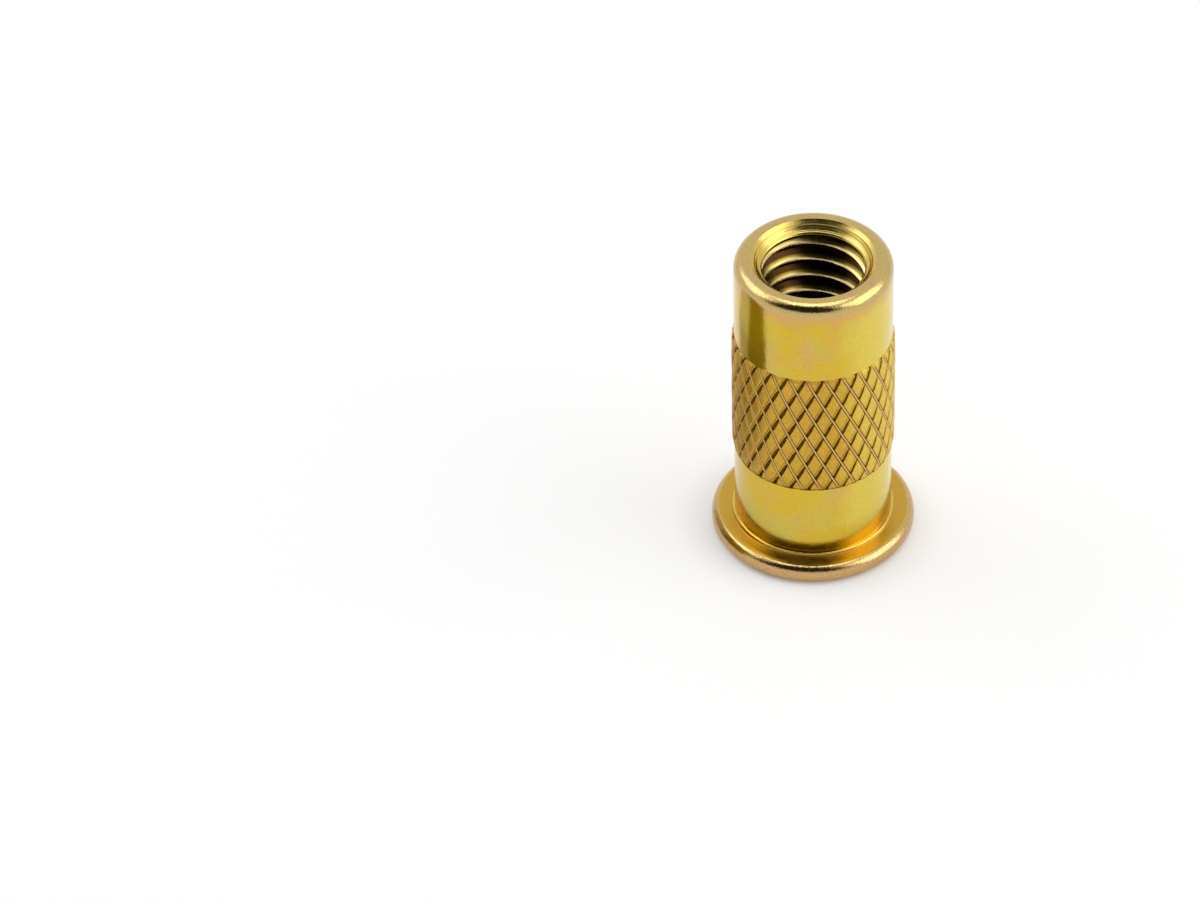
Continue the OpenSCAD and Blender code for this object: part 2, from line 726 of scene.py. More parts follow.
def new_rule(name: str, sizes: dict[str, float]) -> tuple[Tree, Values]:
    """Starts a Geometry Nodes tree with one named number input for each size.

    Args:
        name: Name of the tree.
        sizes: The inputs' names and values.

    Returns:
        The tree and the outputs of its input node.
    """
    tree = bpy.data.node_groups.new(name, "GeometryNodeTree")
    tree.interface.new_socket("Geometry", in_out="OUTPUT", socket_type="NodeSocketGeometry")
    for label in sizes:
        tree.interface.new_socket(label, in_out="INPUT", socket_type="NodeSocketFloat")
    return tree, add_node(tree, "NodeGroupInput").outputs


def add_sheet(tree: Tree, given: Values) -> tuple[Socket, Values]:
    """Adds a flat grid whose points lie one apart, in the tree's Columns and Rows.

    Args:
        tree: The tree.
        given: The outputs of its input node.

    Returns:
        The grid, and each point's column and row as X and Y, counted from the middle.
    """
    points = [
        add_node(tree, "ShaderNodeMath", {0: given[label], 1: 1.0}, operation="ADD").outputs[0]
        for label in ("Columns", "Rows")
    ]
    grid = add_node(
        tree,
        "GeometryNodeMeshGrid",
        {
            "Size X": given["Columns"],
            "Size Y": given["Rows"],
            "Vertices X": points[0],
            "Vertices Y": points[1],
        },
    )
    place = add_node(tree, "GeometryNodeInputPosition").outputs[0]
    return grid.outputs["Mesh"], add_node(tree, "ShaderNodeSeparateXYZ", {0: place}).outputs


def add_round_point(tree: Tree, radius: Socket, height: Socket, turn: Socket) -> Socket:
    """Adds the place that a point has round the nut's axis.

    Args:
        tree: The tree.
        radius: Its distance from the axis.
        height: Its height.
        turn: Its angle, in radians.

    Returns:
        The place.
    """
    point = add_node(tree, "ShaderNodeCombineXYZ", {"X": radius, "Z": height})
    return add_node(
        tree, "ShaderNodeVectorRotate", {"Vector": point, "Angle": turn}, rotation_type="Z_AXIS"
    ).outputs[0]


def finish_rule(tree: Tree, shape: Socket, material: bpy.types.Material) -> None:
    """Ends a Geometry Nodes tree: welded, smooth, realized and with its material.

    Args:
        tree: The tree to end.
        shape: The geometry made so far, in millimetres.
        material: The material that all of it gets.
    """
    welded = add_node(tree, "GeometryNodeMergeByDistance", {0: shape, "Distance": NutMesh.weld})
    smooth = add_node(tree, "GeometryNodeSetShadeSmooth", {0: welded})
    real = add_node(tree, "GeometryNodeRealizeInstances", {0: smooth})
    dressed = add_node(tree, "GeometryNodeSetMaterial", {0: real, "Material": material})
    add_node(tree, "NodeGroupOutput", {0: dressed})


def grow(tree: Tree, sizes: dict[str, float]) -> bpy.types.Mesh:
    """Runs a Geometry Nodes tree and keeps what it makes as a plain mesh.

    Args:
        tree: The tree.
        sizes: The values of its inputs, by name.

    Returns:
        The mesh, in millimetres.
    """
    host = bpy.data.objects.new(tree.name, bpy.data.meshes.new(tree.name))
    bpy.context.scene.collection.objects.link(host)
    modifier = host.modifiers.new(tree.name, "NODES")
    modifier.node_group = tree
    for item in tree.interface.items_tree:
        if item.in_out == "INPUT":
            modifier[item.identifier] = float(sizes[item.name])
    evaluated = host.evaluated_get(bpy.context.evaluated_depsgraph_get())
    mesh = bpy.data.meshes.new_from_object(evaluated)
    bpy.data.objects.remove(host)
    return mesh


@dataclass
class KnurledBand:
    """The rolled band of diamonds round the shank.

    Each row of points is shifted by half a column from the one below, so that the edges of
    the triangles run along both sets of grooves, and the points gather at the grooves. The
    falling line is a fine raised seam between two creases and runs down to the right, seen
    from outside. The rising line is a deep slot beside a narrow lip, and stops at each seam.

    Attributes:
        plain_radius: Radius of the shank above and below the band.
        start: Height of the band's lower edge.
        end: Height of its upper edge.
        seam_angle: Angle at which two lines cross at mid-band, in radians.
        diamonds: Number of diamonds round the band.
        pitch: Distance between diamonds along the axis.
        columns_per_diamond: Number of columns of points in a diamond's width.
        fine_columns: How many of them gather on each side of a line.
        fine_column: Width of a gathered column, square to the line.
        gather_distance: Distance from the band's edges over which the gathering sets in.
        rise: How far the diamonds stand out from the shank.
        crown: How much lower a diamond's top is at its sides than in its middle.
        sink: How far below the shank the deepest cuts reach.
        crease_depth: Depth of the creases on both sides of a seam.
        crease_offset: Distance of a crease's middle from its seam.
        crease_width: Width of a crease.
        slot_depth: Depth of a slot.
        slot_offset: Distance of a slot's middle from the rising line.
        slot_width: Width of a slot at its top.
        slot_floor: Width of its flat floor.
        slot_taper_start: Share of a diamond's side after which a slot narrows.
        slot_tip: Width of a slot's end, as a share of its full width.
        lip_crease_depth: Depth of the crease that sets off the lip beside a slot.
        lip_crease_offset: Distance of that crease's middle from the rising line.
        bridge_start: Distance from a seam up to which no slot is cut.
        bridge_end: Distance from a seam after which a slot has its full depth.
        lower_taper: Length over which the diamonds rise at the lower edge.
        lower_share: Share of their rise that they have at the lower edge.
        lower_crease: Width of the crease along the lower edge.
        upper_taper: Length over which the diamonds sink towards the upper edge.
        upper_share: Share of their rise that is left there.
        upper_ramp: Length of the slope that ends them at the upper edge.
        unevenness: Height of the rolling's unevenness.
        uneven_size: Size of the unevenness.
        uneven_seed: Place in the noise that gives the unevenness.
    """

    plain_radius: float
    start: float
    end: float
    seam_angle: float
    diamonds: int = 28
    pitch: float = 2.925
    columns_per_diamond: int = 16
    fine_columns: int = 5
    fine_column: float = 0.05
    gather_distance: float = 1.2
    rise: float = 0.2
    crown: float = 0.02
    sink: float = 0.16
    crease_depth: float = 0.12
    crease_offset: float = 0.1
    crease_width: float = 0.12
    slot_depth: float = 0.21
    slot_offset: float = 0.05
    slot_width: float = 0.3
    slot_floor: float = 0.2
    slot_taper_start: float = 0.35
    slot_tip: float = 0.5
    lip_crease_depth: float = 0.07
    lip_crease_offset: float = 0.2
    bridge_start: float = 0.05
    bridge_end: float = 0.17
    lower_taper: float = 1.0
    lower_share: float = 0.35
    lower_crease: float = 0.16
    upper_taper: float = 1.6
    upper_share: float = 0.75
    upper_ramp: float = 0.28
    unevenness: float = 0.01
    uneven_size: float = 0.625
    uneven_seed: float = 2.0

    @property
    def columns(self) -> int:
        """Number of columns of points round the band."""
        return self.diamonds * self.columns_per_diamond

    @property
    def rows(self) -> int:
        """Number of rows between the band's edges, a multiple of four."""
        row = self.pitch / (2 * self.columns_per_diamond)
        return 4 * math.ceil((self.end - self.start) / row / 4)

    @property
    def line_spacing(self) -> float:
        """Distance between neighbouring lines, square to them."""
        width = FULL_TURN * (self.plain_radius + self.rise) / self.diamonds
        return width * self.pitch / math.hypot(width, self.pitch)

    def sizes(self) -> dict[str, float]:
        """Gives the tree's inputs by name.

        Returns:
            The value of each input.
        """
        fine_share = self.fine_columns / self.columns_per_diamond
        fine_width = self.fine_columns * self.fine_column / self.line_spacing
        return {
            "Columns": self.columns,
            "Rows": self.rows,
            "Columns per Diamond": self.columns_per_diamond,
            "Fine Stretch": fine_width / fine_share,
            "Coarse Stretch": (0.5 - fine_width) / (0.5 - fine_share),
            "Gather Distance": self.gather_distance,
            "Pitch": self.pitch,
            "Angle per Diamond": FULL_TURN / self.diamonds,
            "Start": self.start,
            "End": self.end,
            "Seam Angle": self.seam_angle,
            "Plain Radius": self.plain_radius,
            "Rise": self.rise,
            "Crown": self.crown,
            "Sink": self.sink,
            "Line Spacing": self.line_spacing,
            "Crease Depth": self.crease_depth,
            "Crease Offset": self.crease_offset,
            "Crease Half Width": self.crease_width / 2,
            "Slot Depth": self.slot_depth,
            "Slot Offset": self.slot_offset,
            "Slot Half Width": self.slot_width / 2,
            "Slot Half Floor": self.slot_floor / 2,
            "Slot Taper Start": self.slot_taper_start,
            "Slot Tip": self.slot_tip,
            "Lip Crease Depth": self.lip_crease_depth,
            "Lip Crease Offset": self.lip_crease_offset,
            "Bridge Start": self.bridge_start,
            "Bridge End": self.bridge_end,
            "Lower Taper": self.lower_taper,
            "Lower Share": self.lower_share,
            "Lower Crease": self.lower_crease,
            "Upper Taper": self.upper_taper,
            "Upper Share": self.upper_share,
            "Upper Ramp": self.upper_ramp,
            "Unevenness": self.unevenness,
            "Unevenness Scale": 1 / self.uneven_size,
            "Unevenness Seed": self.uneven_seed,
        }

    def build(self, material: bpy.types.Material) -> bpy.types.Mesh:
        """Makes the band.

        Args:
            material: The finish of the diamonds and lines.

        Returns:
            The band as an open sleeve, in millimetres.
        """
        tree, given = new_rule("diamond_knurl", self.sizes())
        sheet, turn, height, away = self.gathered_sheet(tree, given)
        stand, marks = self.stand_above_shank(tree, given, height, turn, away)
        radius = add_node(tree, "ShaderNodeMath", {0: given["Plain Radius"], 1: stand}, operation="ADD")
        wrapped = add_round_point(tree, radius.outputs[0], height, turn)
        marked = add_node(
            tree,
            "GeometryNodeStoreNamedAttribute",
            {0: sheet, "Name": KNURL_MARKS, "Value": marks},
            data_type="FLOAT_VECTOR",
            domain="POINT",
        )
        band = add_node(tree, "GeometryNodeSetPosition", {0: marked, "Position": wrapped})
        finish_rule(tree, band.outputs[0], material)
        return grow(tree, self.sizes())

    def gathered_sheet(self, tree: Tree, given: Values) -> tuple[Socket, ...]:
        """Adds the flat sheet of triangles, with its points gathered at the knurl's lines.

        Args:
            tree: The knurl's tree.
            given: The outputs of its input node.

        Returns:
            The sheet, each point's angle and height, and its distances from the nearest
            falling line (X) and rising line (Y), positive to the right.
        """
        grid, flat = add_sheet(tree, given)
        odd_row = add_node(tree, "ShaderNodeMath", {0: flat["Y"], 1: 1.0}, operation="PINGPONG")
        shift = add_node(tree, "ShaderNodeMath", {0: odd_row, 1: 0.5}, operation="MULTIPLY")
        offset = add_node(tree, "ShaderNodeCombineXYZ", {"X": shift})
        sheared = add_node(tree, "GeometryNodeSetPosition", {0: grid, "Offset": offset})
        sheet = add_node(
            tree, "GeometryNodeTriangulate", {0: sheared}, quad_method="SHORTEST_DIAGONAL"
        )
        count = self.gathered_count(tree, given, flat)
        across, along = (
            add_node(
                tree, "ShaderNodeVectorMath", {0: count, 1: halves}, operation="DOT_PRODUCT"
            ).outputs["Value"]
            for halves in ((0.5, 0.5, 0.0), (0.5, -0.5, 0.0))
        )
        turn = add_node(
            tree,
            "ShaderNodeMath",
            {0: across, 1: given["Angle per Diamond"], 2: given["Seam Angle"]},
            operation="MULTIPLY_ADD",
        )
        middle = add_node(tree, "ShaderNodeMath", {0: given["Start"], 1: given["End"]}, operation="ADD")
        middle = add_node(tree, "ShaderNodeMath", {0: middle, 1: 0.5}, operation="MULTIPLY")
        height = add_node(
            tree,
            "ShaderNodeMath",
            {0: along, 1: given["Pitch"], 2: middle},
            operation="MULTIPLY_ADD",
        )
        height = add_node(
            tree, "ShaderNodeClamp", {"Value": height, "Min": given["Start"], "Max": given["End"]}
        )
        away = add_node(
            tree,
            "ShaderNodeVectorMath",
            {0: self.from_nearest_line(tree, count), "Scale": given["Line Spacing"]},
            operation="SCALE",
        )
        return sheet.outputs[0], turn.outputs[0], height.outputs[0], away.outputs[0]

    def gathered_count(self, tree: Tree, given: Values, flat: Values) -> Socket:
        """Adds each point's place on the band, with the points gathered at the lines.

        Args:
            tree: The knurl's tree.
            given: The outputs of its input node.
            flat: The point's column and row as X and Y, counted from the middle.

        Returns:
            The place, counted in falling lines (X) and rising lines (Y).
        """
        # Columns plus and minus half the rows, counted in diamonds, number the two sets of lines
        half = add_node(tree, "ShaderNodeMath", {0: flat["Y"], 1: 0.5}, operation="MULTIPLY")
        falling = add_node(tree, "ShaderNodeMath", {0: flat["X"], 1: half}, operation="ADD")
        rising = add_node(tree, "ShaderNodeMath", {0: flat["X"], 1: half}, operation="SUBTRACT")
        count = add_node(tree, "ShaderNodeCombineXYZ", {"X": falling, "Y": rising})
        share = add_node(
            tree, "ShaderNodeMath", {0: 1.0, 1: given["Columns per Diamond"]}, operation="DIVIDE"
        )
        count = add_node(
            tree, "ShaderNodeVectorMath", {0: count, "Scale": share}, operation="SCALE"
        )
        aside = self.from_nearest_line(tree, count.outputs[0])
        moved = self.gathering_move(tree, given, aside)
        # The gathering fades towards the band's edges, where the points meet the plain shank's
        edge_row = add_node(tree, "ShaderNodeMath", {0: given["Rows"], 1: 0.5}, operation="MULTIPLY")
        row = add_node(tree, "ShaderNodeMath", {0: flat["Y"]}, operation="ABSOLUTE")
        to_edge = add_node(tree, "ShaderNodeMath", {0: edge_row, 1: row}, operation="SUBTRACT")
        row_height = add_node(
            tree, "ShaderNodeMath", {0: share, 1: given["Pitch"]}, operation="MULTIPLY"
        )
        to_edge = add_node(
            tree, "ShaderNodeMath", {0: to_edge, 1: row_height}, operation="MULTIPLY"
        )
        gather = add_node(
            tree, "ShaderNodeMapRange", {"Value": to_edge, "From Max": given["Gather Distance"]}
        )
        moved = add_node(
            tree, "ShaderNodeVectorMath", {0: moved, "Scale": gather}, operation="SCALE"
        )
        return add_node(
            tree, "ShaderNodeVectorMath", {0: count, 1: moved}, operation="ADD"
        ).outputs[0]

    def from_nearest_line(self, tree: Tree, count: Socket) -> Socket:
        """Adds a point's distances from the nearest lines, as shares of the spacing.

        Args:
            tree: The knurl's tree.
            count: The point's place, counted in falling lines (X) and rising lines (Y).

        Returns:
            The distances, from -0.5 to 0.5.
        """
        shifted = add_node(tree, "ShaderNodeVectorMath", {0: count, 1: (0.5, 0.5, 0.5)}, operation="ADD")
        share = add_node(tree, "ShaderNodeVectorMath", {0: shifted}, operation="FRACTION")
        return add_node(
            tree, "ShaderNodeVectorMath", {0: share, 1: (0.5, 0.5, 0.5)}, operation="SUBTRACT"
        ).outputs[0]

    def gathering_move(self, tree: Tree, given: Values, aside: Socket) -> Socket:
        """Adds the move that brings points nearer to the lines.

        Args:
            tree: The knurl's tree.
            given: The outputs of its input node.
            aside: The point's distances from the nearest lines, as shares of the spacing.

        Returns:
            The move, as shares of the spacing.
        """
        size = add_node(tree, "ShaderNodeVectorMath", {0: aside}, operation="ABSOLUTE")
        fine = add_node(
            tree,
            "ShaderNodeVectorMath",
            {0: size, "Scale": given["Fine Stretch"]},
            operation="SCALE",
        )
        to_middle = add_node(
            tree, "ShaderNodeVectorMath", {0: (0.5, 0.5, 0.5), 1: size}, operation="SUBTRACT"
        )
        coarse = add_node(
            tree,
            "ShaderNodeVectorMath",
            {0: to_middle, "Scale": given["Coarse Stretch"]},
            operation="SCALE",
        )
        coarse = add_node(
            tree, "ShaderNodeVectorMath", {0: (0.5, 0.5, 0.5), 1: coarse}, operation="SUBTRACT"
        )
        size = add_node(tree, "ShaderNodeVectorMath", {0: fine, 1: coarse}, operation="MAXIMUM")
        side = add_node(tree, "ShaderNodeVectorMath", {0: aside}, operation="SIGN")
        place = add_node(tree, "ShaderNodeVectorMath", {0: size, 1: side}, operation="MULTIPLY")
        return add_node(
            tree, "ShaderNodeVectorMath", {0: place, 1: aside}, operation="SUBTRACT"
        ).outputs[0]

    def stand_above_shank(
        self, tree: Tree, given: Values, height: Socket, turn: Socket, away: Socket
    ) -> tuple[Socket, Socket]:
        """Adds how far each point stands out from the plain shank.

        Args:
            tree: The knurl's tree.
            given: The outputs of its input node.
            height: The point's height.
            turn: The point's angle.
            away: The point's distances from the nearest falling and rising lines.

        Returns:
            The distance, below zero in a slot and zero at both edges of the band, and the
            marks for the finish: depth of the cut (X) and nearness of a seam (Y).
        """
        aside = add_node(tree, "ShaderNodeSeparateXYZ", {0: away}).outputs
        from_seam = add_node(tree, "ShaderNodeMath", {0: aside["X"]}, operation="ABSOLUTE").outputs[0]
        cut = self.line_cuts(tree, given, aside, from_seam)
        top, foot, inside = self.band_outline(tree, given, height)
        cut = add_node(tree, "ShaderNodeMath", {0: cut, 1: foot}, operation="MAXIMUM")

        # A diamond is crowned: its top falls with the square of the distance from its middle
        size = add_node(tree, "ShaderNodeVectorMath", {0: away}, operation="ABSOLUTE")
        halves = add_node(tree, "ShaderNodeMath", {0: 2.0, 1: given["Line Spacing"]}, operation="DIVIDE")
        share = add_node(
            tree, "ShaderNodeVectorMath", {0: size, "Scale": halves}, operation="SCALE"
        )
        from_middle = add_node(
            tree, "ShaderNodeVectorMath", {0: (1.0, 1.0, 0.0), 1: share}, operation="SUBTRACT"
        )
        near_line = add_node(
            tree, "ShaderNodeVectorMath", {0: from_middle, 1: from_middle}, operation="DOT_PRODUCT"
        ).outputs["Value"]
        fall = add_node(
            tree,
            "ShaderNodeMath",
            {0: near_line, 1: given["Crown"], 2: cut},
            operation="MULTIPLY_ADD",
        )
        stand = add_node(tree, "ShaderNodeMath", {0: top, 1: fall}, operation="SUBTRACT")
        floor = add_node(tree, "ShaderNodeMath", {0: given["Sink"], 1: -1.0}, operation="MULTIPLY")
        stand = add_node(tree, "ShaderNodeMath", {0: stand, 1: floor}, operation="MAXIMUM")
        rough = self.rolling_marks(tree, given, height, turn)
        stand = add_node(tree, "ShaderNodeMath", {0: stand, 1: rough}, operation="ADD")
        stand = add_node(tree, "ShaderNodeMath", {0: stand, 1: inside}, operation="MULTIPLY")
        depth = add_node(
            tree, "ShaderNodeMath", {0: cut, 1: given["Crease Depth"]}, operation="DIVIDE"
        )
        near_seam = add_node(
            tree,
            "ShaderNodeMapRange",
            {"Value": from_seam, "From Max": given["Crease Offset"], "To Min": 1.0, "To Max": 0.0},
        )
        marks = add_node(tree, "ShaderNodeCombineXYZ", {"X": depth, "Y": near_seam})
        return stand.outputs[0], marks.outputs[0]

    def line_cuts(self, tree: Tree, given: Values, aside: Values, from_seam: Socket) -> Socket:
        """Adds the depth of the cuts along both sets of lines.

        Args:
            tree: The knurl's tree.
            given: The outputs of its input node.
            aside: The point's distances from the nearest falling (X) and rising line (Y).
            from_seam: The first of them without its sign.

        Returns:
            The depth at the point.
        """
        crease = self.cut(
            tree, from_seam, given["Crease Offset"], given["Crease Half Width"], given["Crease Depth"]
        )
        # Each slot is a leaf: blunt at the seam where it starts and narrow at the next one
        along = add_node(
            tree, "ShaderNodeMath", {0: aside["X"], 1: given["Line Spacing"]}, operation="DIVIDE"
        )
        along = add_node(tree, "ShaderNodeMath", {0: along}, operation="FRACT")
        leaf = add_node(
            tree,
            "ShaderNodeMapRange",
            {
                "Value": along,
                "From Min": given["Slot Taper Start"],
                "To Min": 1.0,
                "To Max": given["Slot Tip"],
            },
        ).outputs["Result"]
        half_width, half_floor = (
            add_node(tree, "ShaderNodeMath", {0: given[label], 1: leaf}, operation="MULTIPLY").outputs[0]
            for label in ("Slot Half Width", "Slot Half Floor")
        )
        slot = self.cut(
            tree, aside["Y"], given["Slot Offset"], half_width, given["Slot Depth"], half_floor
        )
        other_side = add_node(tree, "ShaderNodeMath", {0: aside["Y"], 1: -1.0}, operation="MULTIPLY")
        lip = self.cut(
            tree,
            other_side.outputs[0],
            given["Lip Crease Offset"],
            given["Crease Half Width"],
            given["Lip Crease Depth"],
        )
        rising = add_node(tree, "ShaderNodeMath", {0: slot, 1: lip}, operation="MAXIMUM")
        open_share = add_node(
            tree,
            "ShaderNodeMapRange",
            {"Value": from_seam, "From Min": given["Bridge Start"], "From Max": given["Bridge End"]},
            interpolation_type="SMOOTHSTEP",
        ).outputs["Result"]
        rising = add_node(tree, "ShaderNodeMath", {0: rising, 1: open_share}, operation="MULTIPLY")
        return add_node(
            tree, "ShaderNodeMath", {0: crease, 1: rising}, operation="MAXIMUM"
        ).outputs[0]

    def cut(
        self,
        tree: Tree,
        distance: Socket,
        offset: Socket,
        half_width: Socket,
        depth: Socket,
        half_floor: Socket | float = 0.0,
    ) -> Socket:
        """Adds the depth of a straight cut.

        Args:
            tree: The knurl's tree.
            distance: The point's distance from the line.
            offset: The distance of the cut's middle from the line.
            half_width: Half the cut's width at its top.
            depth: Its depth.
            half_floor: Half the width of its flat floor, 0 where it is a plain crease.

        Returns:
            The depth at the point.
        """
        aside = add_node(tree, "ShaderNodeMath", {0: distance, 1: offset}, operation="SUBTRACT")
        aside = add_node(tree, "ShaderNodeMath", {0: aside}, operation="ABSOLUTE")
        return add_node(
            tree,
            "ShaderNodeMapRange",
            {
                "Value": aside,
                "From Min": half_floor,
                "From Max": half_width,
                "To Min": depth,
                "To Max": 0.0,
            },
        ).outputs["Result"]

    def band_outline(self, tree: Tree, given: Values, height: Socket) -> tuple[Socket, Socket, Socket]:
        """Adds how high the diamonds' tops stand along the band.

        Args:
            tree: The knurl's tree.
            given: The outputs of its input node.
            height: The point's height.

        Returns:
            The tops' distance from the shank, the depth of the crease along the lower edge,
            and a number that is zero at the band's edges and one everywhere else.
        """
        above = add_node(tree, "ShaderNodeMath", {0: height, 1: given["Start"]}, operation="SUBTRACT")
        below = add_node(tree, "ShaderNodeMath", {0: given["End"], 1: height}, operation="SUBTRACT")
        shares = [
            add_node(
                tree,
                "ShaderNodeMapRange",
                {
                    "Value": distance,
                    "From Max": given[f"{end} Taper"],
                    "To Min": given[f"{end} Share"],
                    "To Max": 1.0,
                },
                interpolation_type="SMOOTHSTEP",
            ).outputs["Result"]
            for distance, end in ((above, "Lower"), (below, "Upper"))
        ]
        share = add_node(tree, "ShaderNodeMath", {0: shares[0], 1: shares[1]}, operation="MULTIPLY")
        ramp = add_node(
            tree, "ShaderNodeMapRange", {"Value": below, "From Max": given["Upper Ramp"]}
        )
        share = add_node(tree, "ShaderNodeMath", {0: share, 1: ramp}, operation="MULTIPLY")
        top = add_node(tree, "ShaderNodeMath", {0: share, 1: given["Rise"]}, operation="MULTIPLY")
        foot = add_node(
            tree,
            "ShaderNodeMapRange",
            {
                "Value": above,
                "From Max": given["Lower Crease"],
                "To Min": given["Crease Depth"],
                "To Max": 0.0,
            },
        )
        edge = add_node(tree, "ShaderNodeMath", {0: above, 1: below}, operation="MINIMUM")
        inside = add_node(
            tree, "ShaderNodeMath", {0: edge, 1: NutMesh.weld}, operation="GREATER_THAN"
        )
        return top.outputs[0], foot.outputs["Result"], inside.outputs[0]

    def rolling_marks(self, tree: Tree, given: Values, height: Socket, turn: Socket) -> Socket:
        """Adds the small unevenness that rolling leaves.

        Args:
            tree: The knurl's tree.
            given: The outputs of its input node.
            height: The point's height.
            turn: The point's angle.

        Returns:
            A distance that is as often below zero as above it.
        """
        marks = add_node(
            tree,
            "ShaderNodeTexNoise",
            {
                "Vector": add_round_point(tree, given["Plain Radius"], height, turn),
                "W": given["Unevenness Seed"],
                "Scale": given["Unevenness Scale"],
                "Detail": 2.0,
            },
            noise_dimensions="4D",
        )
        centred = add_node(
            tree, "ShaderNodeMath", {0: marks.outputs["Fac"], 1: 0.5}, operation="SUBTRACT"
        )
        doubled = add_node(tree, "ShaderNodeMath", {0: centred, 1: 2.0}, operation="MULTIPLY")
        return add_node(
            tree, "ShaderNodeMath", {0: doubled, 1: given["Unevenness"]}, operation="MULTIPLY"
        ).outputs[0]


@dataclass
class ThreadedMouth:
    """The internal thread from the countersunk mouth down to the drill point.

    The rows of points follow the helix, so that the crests and roots are clean lines.

    Attributes:
        top: Height of the mouth.
        bottom: Height at which the drill point starts from the plain bore.
        minor_radius: Radius at the crests.
        mouth_radius: Radius of the countersink at the mouth.
        bore_radius: Radius of the plain bore.
        seam_angle: Angle of the first column of points, in radians.
        crest_height: Height of one crest's middle at that angle.
        pitch: Distance between crests along the axis, 16 to the inch.
        thread_depth: How much wider the thread is at its roots than at its crests.
        columns: Number of columns of points round the thread.
        rows_per_turn: Number of rows of points from one crest to the next.
        lip_rows: Rows on each side of a crest's middle that lie flatter than the flank.
        lip: Depth of the groove where that lip ends.
        root_rows: Rows across the flat root.
        start_length: Length below the countersink over which the groove grows.
        countersink_slope: Slope of the countersink's wall, as radius over height.
        countersink_margin: Distance from that wall within which a face belongs to it.
        drill_slope: Slope of the drill point's wall, as radius over height.
    """

    top: float
    bottom: float
    minor_radius: float
    mouth_radius: float
    bore_radius: float
    seam_angle: float
    crest_height: float = 24.12
    pitch: float = 25.4 / 16
    thread_depth: float = 0.7625
    columns: int = 112
    rows_per_turn: int = 24
    lip_rows: int = 1
    lip: float = 0.17
    root_rows: int = 4
    start_length: float = 0.55
    countersink_slope: float = math.tan(math.radians(45))
    countersink_margin: float = 0.02
    drill_slope: float = math.tan(math.radians(59))

    @property
    def first_row(self) -> int:
        """Number of the lowest row, counted from the crest's middle."""
        turns = (self.bottom - self.crest_height - self.pitch) / self.pitch
        return math.floor(turns * self.rows_per_turn)

    @property
    def last_row(self) -> int:
        """Number of the highest row, counted from the crest's middle."""
        turns = (self.top - self.crest_height) / self.pitch
        return math.ceil(turns * self.rows_per_turn)

    @property
    def countersink_foot(self) -> float:
        """Height at which the countersink reaches the crests."""
        return self.top - (self.mouth_radius - self.minor_radius) / self.countersink_slope

    def on_countersink(self, point: Vector) -> bool:
        """Tells whether a point of the thread's part lies on the countersink.

        Args:
            point: The point, in millimetres.

        Returns:
            True if it does.
        """
        cone = self.mouth_radius - (self.top - point.z) * self.countersink_slope
        aside = abs(math.hypot(point.x, point.y) - cone)
        return cone > self.minor_radius and aside < self.countersink_margin

    def sizes(self) -> dict[str, float]:
        """Gives the tree's inputs by name.

        Returns:
            The value of each input.
        """
        return {
            "Columns": self.columns,
            "Rows": self.last_row - self.first_row,
            "Middle Row": (self.last_row + self.first_row) / 2,
            "Rows per Turn": self.rows_per_turn,
            "Pitch": self.pitch,
            "Crest Height": self.crest_height,
            "Top": self.top,
            "Bottom": self.bottom,
            "Seam Angle": self.seam_angle,
            "Minor Radius": self.minor_radius,
            "Major Radius": self.minor_radius + self.thread_depth,
            "Mouth Radius": self.mouth_radius,
            "Bore Radius": self.bore_radius,
            "Lip Share": self.lip_rows / self.rows_per_turn,
            "Lip Radius": self.minor_radius + self.lip,
            "Countersink Foot": self.countersink_foot,
            "Full Groove Height": self.countersink_foot - self.start_length,
            "Root Half Share": self.root_rows / 2 / self.rows_per_turn,
            "Half Row": self.pitch / self.rows_per_turn / 2,
            "Countersink Slope": self.countersink_slope,
            "Drill Slope": self.drill_slope,
        }

    def build(self, material: bpy.types.Material) -> bpy.types.Mesh:
        """Makes the thread with its countersink and drill point.

        Args:
            material: The finish of the thread.

        Returns:
            The thread as an open sleeve, in millimetres.
        """
        tree, given = new_rule("internal_thread", self.sizes())
        grid, flat = add_sheet(tree, given)
        row = add_node(tree, "ShaderNodeMath", {0: flat["Y"], 1: given["Middle Row"]}, operation="ADD")
        row = add_node(
            tree, "ShaderNodeMath", {0: row, 1: given["Rows per Turn"]}, operation="DIVIDE"
        )
        # The grid is centred on its origin, so half a turn brings its first column to the seam
        turn = add_node(tree, "ShaderNodeMath", {0: flat["X"], 1: given["Columns"]}, operation="DIVIDE")
        turn = add_node(tree, "ShaderNodeMath", {0: turn, 1: 0.5}, operation="ADD")
        climb = add_node(tree, "ShaderNodeMath", {0: row, 1: turn}, operation="ADD")
        height = add_node(
            tree,
            "ShaderNodeMath",
            {0: climb, 1: given["Pitch"], 2: given["Crest Height"]},
            operation="MULTIPLY_ADD",
        )
        height = add_node(
            tree, "ShaderNodeClamp", {"Value": height, "Min": given["Bottom"], "Max": given["Top"]}
        )
        # The rows cross the countersink's foot, so the nearest point of each column moves onto it
        near_foot = add_node(
            tree,
            "ShaderNodeMath",
            {0: height, 1: given["Countersink Foot"], 2: given["Half Row"]},
            operation="COMPARE",
        )
        height = add_node(
            tree,
            "ShaderNodeMix",
            {"Factor": near_foot, "A": height, "B": given["Countersink Foot"]},
        )
        radius = self.radius(tree, given, row.outputs[0], height.outputs[0])
        angle = add_node(
            tree,
            "ShaderNodeMath",
            {0: turn, 1: FULL_TURN, 2: given["Seam Angle"]},
            operation="MULTIPLY_ADD",
        )
        wrapped = add_round_point(tree, radius, height.outputs[0], angle.outputs[0])
        sleeve = add_node(tree, "GeometryNodeSetPosition", {0: grid, "Position": wrapped})
